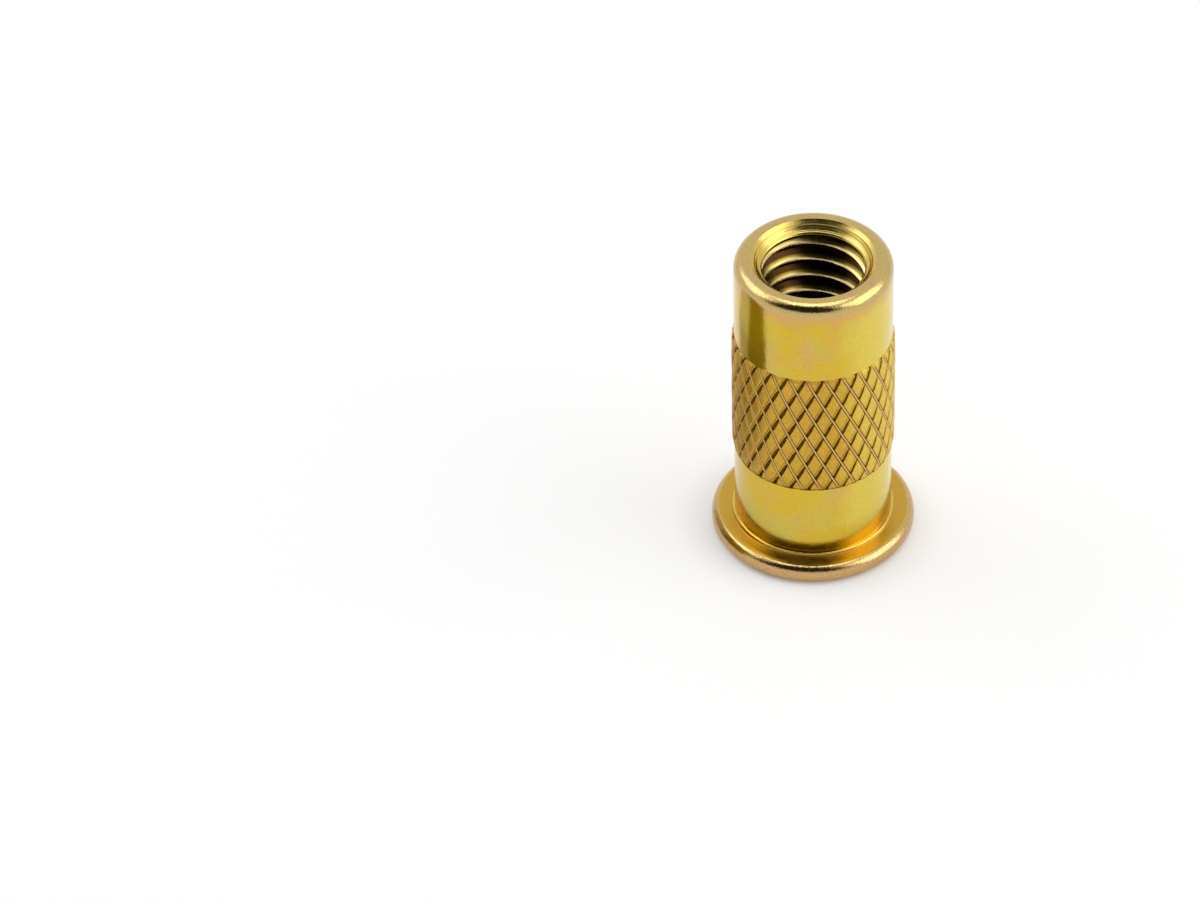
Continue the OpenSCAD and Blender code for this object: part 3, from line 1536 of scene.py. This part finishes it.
        # This diagonal lies along the countersink's foot where it steps from one row to the next
        sleeve = add_node(
            tree, "GeometryNodeTriangulate", {0: sleeve}, quad_method="FIXED_ALTERNATE"
        )
        finish_rule(tree, sleeve.outputs[0], material)
        return grow(tree, self.sizes())

    def radius(self, tree: Tree, given: Values, row: Socket, height: Socket) -> Socket:
        """Adds the radius of a point: the widest of the thread, the countersink and the drill.

        Args:
            tree: The thread's tree.
            given: The outputs of its input node.
            row: The point's row, counted in turns from a crest's middle.
            height: The point's height.

        Returns:
            The radius.
        """
        from_crest = add_node(tree, "ShaderNodeMath", {0: row, 1: 0.5}, operation="PINGPONG").outputs[0]
        root_edge = add_node(
            tree, "ShaderNodeMath", {0: 0.5, 1: given["Root Half Share"]}, operation="SUBTRACT"
        ).outputs[0]
        # The crest's lip lies flatter than the flank, so the narrowest of the three is the profile
        thread = given["Major Radius"]
        for start, end, low, high in (
            (0.0, given["Lip Share"], given["Minor Radius"], given["Lip Radius"]),
            (given["Lip Share"], root_edge, given["Lip Radius"], given["Major Radius"]),
        ):
            side = add_node(
                tree,
                "ShaderNodeMapRange",
                {"Value": from_crest, "From Min": start, "From Max": end, "To Min": low, "To Max": high},
                clamp=False,
            ).outputs["Result"]
            thread = add_node(tree, "ShaderNodeMath", {0: thread, 1: side}, operation="MINIMUM").outputs[0]
        depths = [
            add_node(tree, "ShaderNodeMath", {0: start, 1: end}, operation="SUBTRACT").outputs[0]
            for start, end in ((given["Top"], height), (height, given["Bottom"]))
        ]
        cones = []
        for depth, end, wide in zip(depths, ("Countersink", "Drill"), ("Mouth Radius", "Bore Radius")):
            narrowing = add_node(
                tree, "ShaderNodeMath", {0: depth, 1: given[f"{end} Slope"]}, operation="MULTIPLY"
            )
            cones.append(
                add_node(
                    tree, "ShaderNodeMath", {0: given[wide], 1: narrowing}, operation="SUBTRACT"
                ).outputs[0]
            )
        # The groove grows from nothing just below the countersink
        started = add_node(
            tree,
            "ShaderNodeMapRange",
            {
                "Value": height,
                "From Min": given["Countersink Foot"],
                "From Max": given["Full Groove Height"],
            },
        )
        groove = add_node(
            tree, "ShaderNodeMath", {0: thread, 1: given["Minor Radius"]}, operation="SUBTRACT"
        )
        widest = add_node(
            tree,
            "ShaderNodeMath",
            {0: groove, 1: started, 2: given["Minor Radius"]},
            operation="MULTIPLY_ADD",
        ).outputs[0]
        for cone in cones:
            widest = add_node(tree, "ShaderNodeMath", {0: widest, 1: cone}, operation="MAXIMUM").outputs[0]
        return widest


# ---------------------------------------------------------------- turned parts


def arc(centre: tuple[float, float], radius: float, start: float, end: float, steps: int) -> Outline:
    """Gives the points of an arc of the turned outline.

    Args:
        centre: Distance from the axis and height of the arc's centre.
        radius: The arc's radius.
        start: Angle of its first point in degrees, with 0 outwards and 90 up.
        end: Angle of its last point.
        steps: Number of straight pieces.

    Returns:
        The points as distance from the axis and height.
    """
    angles = [math.radians(start + (end - start) * i / steps) for i in range(steps + 1)]
    return [(centre[0] + radius * math.cos(a), centre[1] + radius * math.sin(a)) for a in angles]


class NutMesh:
    """The mesh under construction: rings of points round the axis, and faces between them.

    Attributes:
        weld: Points closer than this become one, in millimetres.
        hold: Distance of the ring that keeps a flat or straight stretch true beside an arc.
    """

    weld = 0.001
    hold = 0.04

    def __init__(self, seam_angle: float) -> None:
        """Starts an empty mesh with the angle of each ring's first point, in radians."""
        self.mesh = bmesh.new()
        self.seam_angle = seam_angle

    def ring(self, radius: float, height: float, count: int) -> Ring:
        """Adds a ring of count points round the axis and gives them in their order."""
        angles = [self.seam_angle + FULL_TURN * i / count for i in range(count)]
        return [self.mesh.verts.new((radius * math.cos(a), radius * math.sin(a), height)) for a in angles]

    def join(self, first: Ring, second: Ring, surface: Surface) -> None:
        """Adds the faces between two rings, one of which may have a multiple of the other's points.

        Args:
            first: One ring.
            second: The other ring.
            surface: The kind of surface, which gives the material.
        """
        coarse, fine = sorted((first, second), key=len)
        ratio = len(fine) // len(coarse)
        for i, point in enumerate(coarse):
            following = coarse[(i + 1) % len(coarse)]
            fan = [fine[(i * ratio + k) % len(fine)] for k in range(ratio + 1)]
            half = ratio // 2
            corners = [[point, fan[k], fan[k + 1]] for k in range(half)]
            corners.append([point, fan[half], fan[half + 1], following])
            corners += [[following, fan[k], fan[k + 1]] for k in range(half + 1, ratio)]
            for face in corners:
                self.mesh.faces.new(face).material_index = surface.value

    def sweep(self, outline: Outline, count: int, surface: Surface, start: Ring | None = None) -> Ring:
        """Turns an open outline round the axis.

        Args:
            outline: The outline's points as distance from the axis and height.
            count: Number of points in each ring.
            surface: The kind of surface.
            start: A ring that the first ring joins to.

        Returns:
            The last ring.
        """
        previous = start
        for radius, height in outline:
            ring = self.ring(radius, height, count)
            if previous is not None:
                self.join(previous, ring, surface)
            previous = ring
        return previous

    def add(self, mesh: bpy.types.Mesh, surface: Surface) -> None:
        """Adds a finished part and frees its mesh.

        Args:
            mesh: The part, in millimetres.
            surface: The kind of surface.
        """
        known = len(self.mesh.faces)
        self.mesh.from_mesh(mesh)
        self.mesh.faces.ensure_lookup_table()
        for face in self.mesh.faces[known:]:
            face.material_index = surface.value
        bpy.data.meshes.remove(mesh)

    def dress(self, old: Surface, new: Surface, covers: Callable[[Vector], bool]) -> None:
        """Gives some faces of one surface another finish.

        Args:
            old: The surface that the faces have so far.
            new: The surface that they get.
            covers: Tells from a face's middle whether it changes.
        """
        for face in self.mesh.faces:
            if face.material_index == old.value and covers(face.calc_center_median()):
                face.material_index = new.value

    def close(self, name: str, sharp_angle: float) -> bpy.types.Mesh:
        """Welds the parts into one closed mesh in metres.

        Args:
            name: Name of the mesh.
            sharp_angle: Edges that turn by more than this are sharp, in radians.

        Returns:
            The mesh.
        """
        bmesh.ops.remove_doubles(self.mesh, verts=self.mesh.verts, dist=self.weld)
        bmesh.ops.recalc_face_normals(self.mesh, faces=self.mesh.faces)
        open_edges = sum(not edge.is_manifold for edge in self.mesh.edges)
        triangles = sum(len(face.verts) - 2 for face in self.mesh.faces)
        log.info("%s: %d triangles, %d open edges", name, triangles, open_edges)
        for face in self.mesh.faces:
            face.smooth = True
        for edge in self.mesh.edges:
            knurled = any(face.material_index == Surface.ROLLED.value for face in edge.link_faces)
            if not knurled and edge.calc_face_angle(0.0) > sharp_angle:
                edge.smooth = False
        self.mesh.transform(Matrix.Scale(MM, 4))
        mesh = bpy.data.meshes.new(name)
        self.mesh.to_mesh(mesh)
        self.mesh.free()
        return mesh


@dataclass
class RivetNut:
    """The nut: a turned steel sleeve with a flange, a knurled band and a threaded end.

    Attributes:
        length: Height of the open end.
        flange_radius: Radius of the flange.
        body_radius: Radius of the plain shank.
        thread_radius: Radius at the thread's crests.
        bore_radius: Radius of the plain bore.
        finishes: The finish of each kind of surface.
        rim_radius: Radius of the rounded edge at the open end.
        mouth_radius: Radius of the countersink at the open end.
        flange_thickness: Thickness of the flange.
        flange_outer_radius: Edge radius round the flange's outer face.
        flange_inner_radius: Edge radius round its inner face.
        collar_step: How far the collar at the shank's foot stands out from it.
        collar_height: Height of the collar above the flange.
        collar_radius: Radius of the collar's rounded edge.
        collar_fillet: Radius of the hollow at the collar's foot.
        pebbled_degrees: Angle up to which the flange's inner edge is pebbled, 0 outwards.
        seat_degrees: Angle from which that edge belongs to the seat.
        entry_chamfer: Width of the chamfer at the bore's edge in the flange.
        thread_length: Length of the threaded end with its countersink.
        knurl_start: Height of the knurl's lower edge.
        knurl_length: Length of the knurled band.
        seam_degrees: Direction of the rings' first points, where two knurl lines cross.
        outer_columns: Number of points round the turned outside.
        sharp_degrees: Edges that turn by more than this are sharp.
    """

    length: float
    flange_radius: float
    body_radius: float
    thread_radius: float
    bore_radius: float
    finishes: dict[Surface, YellowZinc]
    rim_radius: float = 0.95
    mouth_radius: float = 4.87
    flange_thickness: float = 1.6
    flange_outer_radius: float = 0.7
    flange_inner_radius: float = 0.75
    collar_step: float = 0.22
    collar_height: float = 0.25
    collar_radius: float = 0.12
    collar_fillet: float = 0.05
    pebbled_degrees: float = 56.0
    seat_degrees: float = 74.0
    entry_chamfer: float = 0.35
    thread_length: float = 11.0
    knurl_start: float = 8.3
    knurl_length: float = 11.2
    seam_degrees: float = -82.5
    outer_columns: int = 224
    sharp_degrees: float = 30.0

    def build(self) -> bpy.types.Object:
        """Makes the nut's one mesh, dresses it and puts it on the frame's body.

        Returns:
            The nut.
        """
        seam = math.radians(self.seam_degrees)
        materials = {surface: self.finishes[surface].material() for surface in Surface}
        knurl = KnurledBand(
            plain_radius=self.body_radius,
            start=self.knurl_start,
            end=self.knurl_start + self.knurl_length,
            seam_angle=seam,
        )
        thread = ThreadedMouth(
            top=self.length,
            bottom=self.length - self.thread_length,
            minor_radius=self.thread_radius,
            mouth_radius=self.mouth_radius,
            bore_radius=self.bore_radius,
            seam_angle=seam,
        )
        nut = NutMesh(seam)
        self.add_outside(nut, knurl, thread)
        self.add_sleeve_bore(nut, thread)
        nut.add(knurl.build(materials[Surface.ROLLED]), Surface.ROLLED)
        nut.add(thread.build(materials[Surface.CUT]), Surface.CUT)
        nut.dress(Surface.CUT, Surface.MOUTH, thread.on_countersink)
        mesh = nut.close("knurled_rivet_nut", math.radians(self.sharp_degrees))
        for surface in Surface:
            mesh.materials.append(materials[surface])
        piece = bpy.data.objects.new(mesh.name, mesh)
        bpy.context.scene.collection.objects.link(piece)
        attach(piece, "root")
        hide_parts(NODE)
        return piece

    def add_outside(self, nut: NutMesh, knurl: KnurledBand, thread: ThreadedMouth) -> None:
        """Adds the flange, the shank on both sides of the knurl, and the rim.

        Args:
            nut: The mesh under construction.
            knurl: The band whose edge points the shank meets.
            thread: The thread whose mouth the rim meets.
        """
        hold = NutMesh.hold
        fine = self.outer_columns
        foot = nut.ring(self.bore_radius + self.entry_chamfer, 0.0, thread.columns)
        last = nut.sweep(self.flange_outline(), fine, Surface.FLANGE_EDGE, start=foot)
        last = nut.sweep(self.brow_outline(), fine, Surface.FACED, start=last)
        last = nut.sweep(self.seat_outline(), fine, Surface.SEAT, start=last)
        # The collar's edge gets the pale finish, a painted highlight
        last = nut.sweep(self.collar_outline(), fine, Surface.COLLAR_HIGHLIGHT, start=last)
        shank_heights = (self.collar_top, self.collar_top + hold, knurl.start - hold)
        shank = [(self.body_radius, height) for height in shank_heights]
        last = nut.sweep(shank, fine, Surface.TURNED, start=last)
        nut.join(last, nut.ring(self.body_radius, knurl.start, knurl.columns), Surface.TURNED)

        last = nut.ring(self.body_radius, knurl.end, knurl.columns)
        rim_foot = self.length - self.rim_radius
        wall = [(self.body_radius, knurl.end + hold), (self.body_radius, rim_foot - hold)]
        last = nut.sweep(wall, fine, Surface.TURNED, start=last)
        face_radius = self.body_radius - self.rim_radius
        rim = arc((face_radius, rim_foot), self.rim_radius, 0, 90, steps=18)
        rim += [(face_radius - hold, self.length), (self.mouth_radius + hold, self.length)]
        last = nut.sweep(rim, fine, Surface.FACED, start=last)
        mouth = nut.ring(self.mouth_radius, self.length, thread.columns)
        nut.join(last, mouth, Surface.FACED)

    def flange_outline(self) -> Outline:
        """Gives the flange's outline, from its underside round to the brow of its inner edge.

        Returns:
            The points as distance from the axis and height.
        """
        hold = NutMesh.hold
        outer, inner = self.flange_outer_radius, self.flange_inner_radius
        side_low, side_high = outer, self.flange_thickness - inner
        underside = [
            (self.bore_radius + self.entry_chamfer + 2 * hold, 0.0),
            (self.flange_radius - outer - hold, 0.0),
        ]
        lower_edge = arc((self.flange_radius - outer, outer), outer, -90, 0, steps=14)
        side = [(self.flange_radius, side_low + hold), (self.flange_radius, side_high - hold)]
        return underside + lower_edge + side + self.inner_edge(0, self.pebbled_degrees, steps=9)

    def inner_edge(self, start: float, end: float, steps: int) -> Outline:
        """Gives a stretch of the flange's rounded inner edge.

        Args:
            start: Angle of its first point in degrees, with 0 outwards and 90 up.
            end: Angle of its last point.
            steps: Number of straight pieces.

        Returns:
            The stretch.
        """
        radius = self.flange_inner_radius
        centre = (self.flange_radius - radius, self.flange_thickness - radius)
        return arc(centre, radius, start, end, steps)

    def brow_outline(self) -> Outline:
        """Gives the upper part of the flange's inner edge, which the lathe left smooth."""
        return self.inner_edge(self.pebbled_degrees, self.seat_degrees, steps=4)[1:]

    def seat_outline(self) -> Outline:
        """Gives the flange's inner face, from the top of its edge in to the collar's hollow foot.

        Returns:
            The points as distance from the axis and height.
        """
        edge = self.inner_edge(self.seat_degrees, 90, steps=2)[1:]
        face = [
            (self.flange_radius - self.flange_inner_radius - NutMesh.hold, self.flange_thickness),
            (self.collar_foot + NutMesh.hold, self.flange_thickness),
        ]
        hollow = (self.collar_foot, self.flange_thickness + self.collar_fillet)
        return edge + face + arc(hollow, self.collar_fillet, 270, 180, steps=3)

    @property
    def collar_foot(self) -> float:
        """Distance from the axis at which the collar's hollow fillet leaves the flange."""
        return self.body_radius + self.collar_step + self.collar_fillet

    @property
    def collar_top(self) -> float:
        """Height at which the collar's upper edge meets the shank."""
        return self.flange_thickness + self.collar_height

    def collar_outline(self) -> Outline:
        """Gives the outline of the collar's rounded edge, up to the shank.

        Returns:
            The points as distance from the axis and height.
        """
        radius = self.collar_radius
        centre = (self.body_radius + self.collar_step - radius, self.collar_top - radius)
        return arc(centre, radius, 0, 90, steps=5)

    def add_sleeve_bore(self, nut: NutMesh, thread: ThreadedMouth) -> None:
        """Adds the plain bore with the small chamfer at its entry.

        Args:
            nut: The mesh under construction.
            thread: The thread whose drill point the bore meets.
        """
        chamfer = self.entry_chamfer
        bore = [
            (self.bore_radius + chamfer, 0.0),
            (self.bore_radius, chamfer),
            (self.bore_radius, chamfer + NutMesh.hold),
            (self.bore_radius, thread.bottom - NutMesh.hold),
            (self.bore_radius, thread.bottom),
        ]
        nut.sweep(bore, thread.columns, Surface.TURNED)


# --------------------------------------------------------------------- studio


@dataclass(frozen=True)
class Softbox:
    """A soft lamp on a part of the sky, which is seen only in reflections.

    Attributes:
        name: The lamp's name.
        azimuth: Direction of its middle, in degrees from +X towards +Y.
        elevation: Height of its middle above the horizon, in degrees.
        spread: Width and height as seen from the nut, in degrees.
        radiance: How bright its face is, where 1 is white.
        distance: Distance from the nut, in metres.
    """

    name: str
    azimuth: float
    elevation: float
    spread: tuple[float, float]
    radiance: float
    distance: float = 0.6

    def build(self, target: Vector) -> bpy.types.Object:
        """Makes the lamp.

        Args:
            target: The point that it faces.

        Returns:
            The lamp.
        """
        width, height = (
            2 * self.distance * math.tan(math.radians(angle) / 2) for angle in self.spread
        )
        data = bpy.data.lights.new(self.name, "AREA")
        data.shape = "RECTANGLE"
        data.size, data.size_y = width, height
        data.energy = self.radiance * math.pi * width * height
        lamp = bpy.data.objects.new(self.name, data)
        azimuth, elevation = math.radians(self.azimuth), math.radians(self.elevation)
        towards = Vector(
            (
                math.cos(azimuth) * math.cos(elevation),
                math.sin(azimuth) * math.cos(elevation),
                math.sin(elevation),
            )
        )
        lamp.location = target + towards * self.distance
        lamp.rotation_mode = "QUATERNION"
        lamp.rotation_quaternion = towards.to_track_quat("Z", "Y")
        lamp.visible_camera = False
        bpy.context.scene.collection.objects.link(lamp)
        return lamp


@dataclass(frozen=True)
class Block:
    """A matt card block that only the metal sees, for the shapes in its reflections.

    The two stand where a second nut would lie: one puts the dark stripe into the shank, the
    other keeps the left softbox out of the shank's foot.

    Attributes:
        name: Name of the block and its material.
        colour: The card's colour.
        place: Where its middle is on the floor, in metres.
        size: Its length, width and height, in metres.
    """

    name: str
    colour: str
    place: tuple[float, float]
    size: tuple[float, float, float]

    def build(self) -> bpy.types.Object:
        """Makes the block and marks it as studio.

        Returns:
            The block.
        """
        material = bpy.data.materials.new(self.name)
        material.use_nodes = True
        tree = material.node_tree
        tree.nodes.clear()
        card = add_node(tree, "ShaderNodeBsdfDiffuse", {"Color": linear(self.colour)})
        add_node(tree, "ShaderNodeOutputMaterial", {"Surface": card})
        shape = bmesh.new()
        bmesh.ops.create_cube(shape, size=1.0)
        shape.transform(Matrix.Diagonal((*self.size, 1.0)))
        shape.transform(Matrix.Translation((*self.place, self.size[2] / 2)))
        mesh = bpy.data.meshes.new(self.name)
        shape.to_mesh(mesh)
        shape.free()
        mesh.materials.append(material)
        block = bpy.data.objects.new(self.name, mesh)
        block.visible_camera = False
        block.visible_diffuse = False
        block.visible_shadow = False
        bpy.context.scene.collection.objects.link(block)
        return block


@dataclass(frozen=True)
class Studio:
    """A white light tent with a dark opening at the front, softboxes and a pale floor.

    The opening is what gives the rounded edges their dark bands.

    Attributes:
        tent_colour: Colour of the tent's cloth.
        tent: How bright the tent's walls are in reflections, where 1 is white.
        fill: How much the tent lights matt surfaces.
        opening_azimuth: Direction of the opening's middle, in degrees from +X towards +Y.
        opening_half_width: Half its width, in degrees.
        opening_low: Height of its lower edge above the horizon, in degrees.
        opening_high: Height of its upper edge.
        opening_blur: Half the width of its soft edges, in degrees.
        opening_light: How bright the opening is.
        floor_colour: Colour of the floor's matt card.
        floor_glow: Share of the floor that camera and metal see as plain white, beside the nut
            and away from it.
        glow_from: Distances from the nut's axis between which that share grows, in metres.
        floor_size: Side of the floor, in metres.
        blocks: The blocks beside the nut that only the metal sees.
        softboxes: The lamps.
    """

    tent_colour: str = "#FFFFFF"
    tent: float = 0.92
    fill: float = 0.69
    opening_azimuth: float = -106.0
    opening_half_width: float = 54.0
    opening_low: float = 22.0
    opening_high: float = 85.0
    opening_blur: float = 7.0
    opening_light: float = 0.015
    floor_colour: str = "#F6F6F6"
    floor_glow: tuple[float, float] = (0.1, 0.5)
    glow_from: tuple[float, float] = (0.0082, 0.0115)
    floor_size: float = 4.0
    blocks: tuple[Block, ...] = (
        Block("olive_card", "#96902A", (-0.0325, -0.0042), (0.034, 0.0088, 0.0118)),
        Block("pale_card", "#DAD6C0", (-0.0325, 0.0037), (0.034, 0.007, 0.0124)),
    )
    softboxes: tuple[Softbox, ...] = (
        Softbox("softbox_right", -7.0, 35.0, (46.0, 46.0), 1.65),
        Softbox("softbox_left", 158.0, 43.0, (38.0, 32.0), 1.55),
        Softbox("softbox_top", 90.0, 82.0, (34.0, 26.0), 1.75),
    )

    def build(self, target: Vector) -> None:
        """Makes the world, the floor and the lamps.

        Args:
            target: The middle of the nut.
        """
        self.build_world()
        self.build_floor()
        for block in self.blocks:
            block.build()
        for softbox in self.softboxes:
            softbox.build(target)

    def build_world(self) -> None:
        """Makes the tent: white behind the nut, dim on matt surfaces, and open at the front."""
        world = bpy.data.worlds.new("light_tent")
        world.use_nodes = True
        tree = world.node_tree
        tree.nodes.clear()
        way = add_node(
            tree,
            "ShaderNodeSeparateXYZ",
            {0: add_node(tree, "ShaderNodeTexCoord").outputs["Generated"]},
        ).outputs
        azimuth = add_node(tree, "ShaderNodeMath", {0: way["Y"], 1: way["X"]}, operation="ARCTAN2")
        azimuth = add_node(
            tree,
            "ShaderNodeMath",
            {0: azimuth, 1: math.radians(self.opening_azimuth)},
            operation="SUBTRACT",
        )
        azimuth = add_node(
            tree, "ShaderNodeMath", {0: azimuth, 1: math.pi, 2: -math.pi}, operation="WRAP"
        )
        aside = add_node(tree, "ShaderNodeMath", {0: azimuth}, operation="ABSOLUTE")
        elevation = add_node(tree, "ShaderNodeMath", {0: way["Z"]}, operation="ARCSINE")
        inside = 1.0
        for angle, edge, sign in (
            (aside, self.opening_half_width, -1),
            (elevation, self.opening_low, 1),
            (elevation, self.opening_high, -1),
        ):
            step = add_node(
                tree,
                "ShaderNodeMapRange",
                {
                    "Value": angle,
                    "From Min": math.radians(edge - sign * self.opening_blur),
                    "From Max": math.radians(edge + sign * self.opening_blur),
                },
                interpolation_type="SMOOTHSTEP",
            ).outputs["Result"]
            inside = add_node(tree, "ShaderNodeMath", {0: inside, 1: step}, operation="MULTIPLY").outputs[0]
        seen = add_node(
            tree,
            "ShaderNodeMapRange",
            {"Value": inside, "To Min": self.tent, "To Max": self.opening_light},
        )
        ray = add_node(tree, "ShaderNodeLightPath").outputs
        strength = add_node(
            tree,
            "ShaderNodeMix",
            {0: ray["Is Glossy Ray"], 2: self.fill, 3: seen},
            data_type="FLOAT",
        )
        strength = add_node(
            tree, "ShaderNodeMix", {0: ray["Is Camera Ray"], 2: strength, 3: 1.0}, data_type="FLOAT"
        )
        light = add_node(
            tree, "ShaderNodeBackground", {"Color": linear(self.tent_colour), "Strength": strength}
        )
        add_node(tree, "ShaderNodeOutputWorld", {"Surface": light})
        bpy.context.scene.world = world

    def build_floor(self) -> bpy.types.Object:
        """Makes the floor: matt white card that camera and metal see as almost plain white.

        Returns:
            The floor.
        """
        material = bpy.data.materials.new("matt_white_card")
        material.use_nodes = True
        tree = material.node_tree
        tree.nodes.clear()
        card = add_node(tree, "ShaderNodeBsdfDiffuse", {"Color": linear(self.floor_colour)})
        glow = add_node(tree, "ShaderNodeEmission", {"Strength": 1.0})
        ray = add_node(tree, "ShaderNodeLightPath").outputs
        seen = add_node(
            tree, "ShaderNodeMath", {0: ray["Is Camera Ray"], 1: ray["Is Glossy Ray"]}, operation="MAXIMUM"
        )
        place = add_node(tree, "ShaderNodeTexCoord").outputs["Object"]
        share = add_node(
            tree,
            "ShaderNodeMapRange",
            {
                "Value": from_axis(tree, place),
                "From Min": self.glow_from[0],
                "From Max": self.glow_from[1],
                "To Min": self.floor_glow[0],
                "To Max": self.floor_glow[1],
            },
            interpolation_type="SMOOTHSTEP",
        )
        share = add_node(tree, "ShaderNodeMath", {0: seen, 1: share}, operation="MULTIPLY")
        mix = add_node(tree, "ShaderNodeMixShader", {0: share, 1: card, 2: glow})
        add_node(tree, "ShaderNodeOutputMaterial", {"Surface": mix})
        half = self.floor_size / 2
        mesh = bpy.data.meshes.new("floor")
        mesh.from_pydata(
            [(-half, -half, 0.0), (half, -half, 0.0), (half, half, 0.0), (-half, half, 0.0)],
            [],
            [(0, 1, 2, 3)],
        )
        mesh.materials.append(material)
        floor = bpy.data.objects.new("floor", mesh)
        bpy.context.scene.collection.objects.link(floor)
        return floor


@dataclass(frozen=True)
class Viewpoint:
    """The camera: a long lens that looks down on the nut and keeps it right of the middle.

    Attributes:
        aim_height: Height of the point on the nut's axis that it aims at, in metres.
        distance: Distance from that point, in metres.
        elevation: Height of the camera above the horizon, in degrees.
        turned_left: How far it is turned away from that point, in degrees.
        tilted_down: How far it is tilted below that point, in degrees.
        rolled: Its roll, in degrees.
        lens: Focal length, in millimetres.
    """

    aim_height: float = 0.0124
    distance: float = 0.5131
    elevation: float = 40.503
    turned_left: float = 1.868
    tilted_down: float = 0.449
    rolled: float = 0.122
    lens: float = 195.98

    def build(self) -> bpy.types.Object:
        """Makes the camera and gives it to the scene.

        Returns:
            The camera.
        """
        data = bpy.data.cameras.new("long_lens")
        data.lens = self.lens
        camera = bpy.data.objects.new("long_lens", data)
        elevation = math.radians(self.elevation)
        back = Vector((0.0, -math.cos(elevation), math.sin(elevation)))
        aim = back.to_track_quat("Z", "Y").to_matrix()
        for angle, axis in ((self.turned_left, "Y"), (-self.tilted_down, "X"), (self.rolled, "Z")):
            aim = aim @ Matrix.Rotation(math.radians(angle), 3, axis)
        place = Vector((0.0, 0.0, self.aim_height)) + back * self.distance
        camera.matrix_world = Matrix.Translation(place) @ aim.to_4x4()
        bpy.context.scene.collection.objects.link(camera)
        bpy.context.scene.camera = camera
        return camera


def main() -> None:
    logging.basicConfig(level=logging.INFO, format="%(name)s: %(message)s")
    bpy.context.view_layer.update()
    low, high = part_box(NODE)
    radii = {mount["name"]: mount["dims"].get("r_mm") for mount in frame["record"]["mounts"]}
    length = high.z / MM
    nut = RivetNut(
        length=length,
        flange_radius=(high.x - low.x) / 2 / MM,
        body_radius=radii["shank"],
        thread_radius=radii["thread"],
        bore_radius=radii["sleeve_bore"],
        finishes=nut_finishes(length),
    )
    piece = nut.build()
    log.info("%s: one piece on the body root", piece.name)
    studio = Studio()
    studio.build((low + high) / 2)
    log.info("studio: floor, %d blocks, %d softboxes", len(studio.blocks), len(studio.softboxes))
    Viewpoint().build()
    bpy.context.scene.view_settings.view_transform = "Standard"


if __name__ == "__main__":
    main()
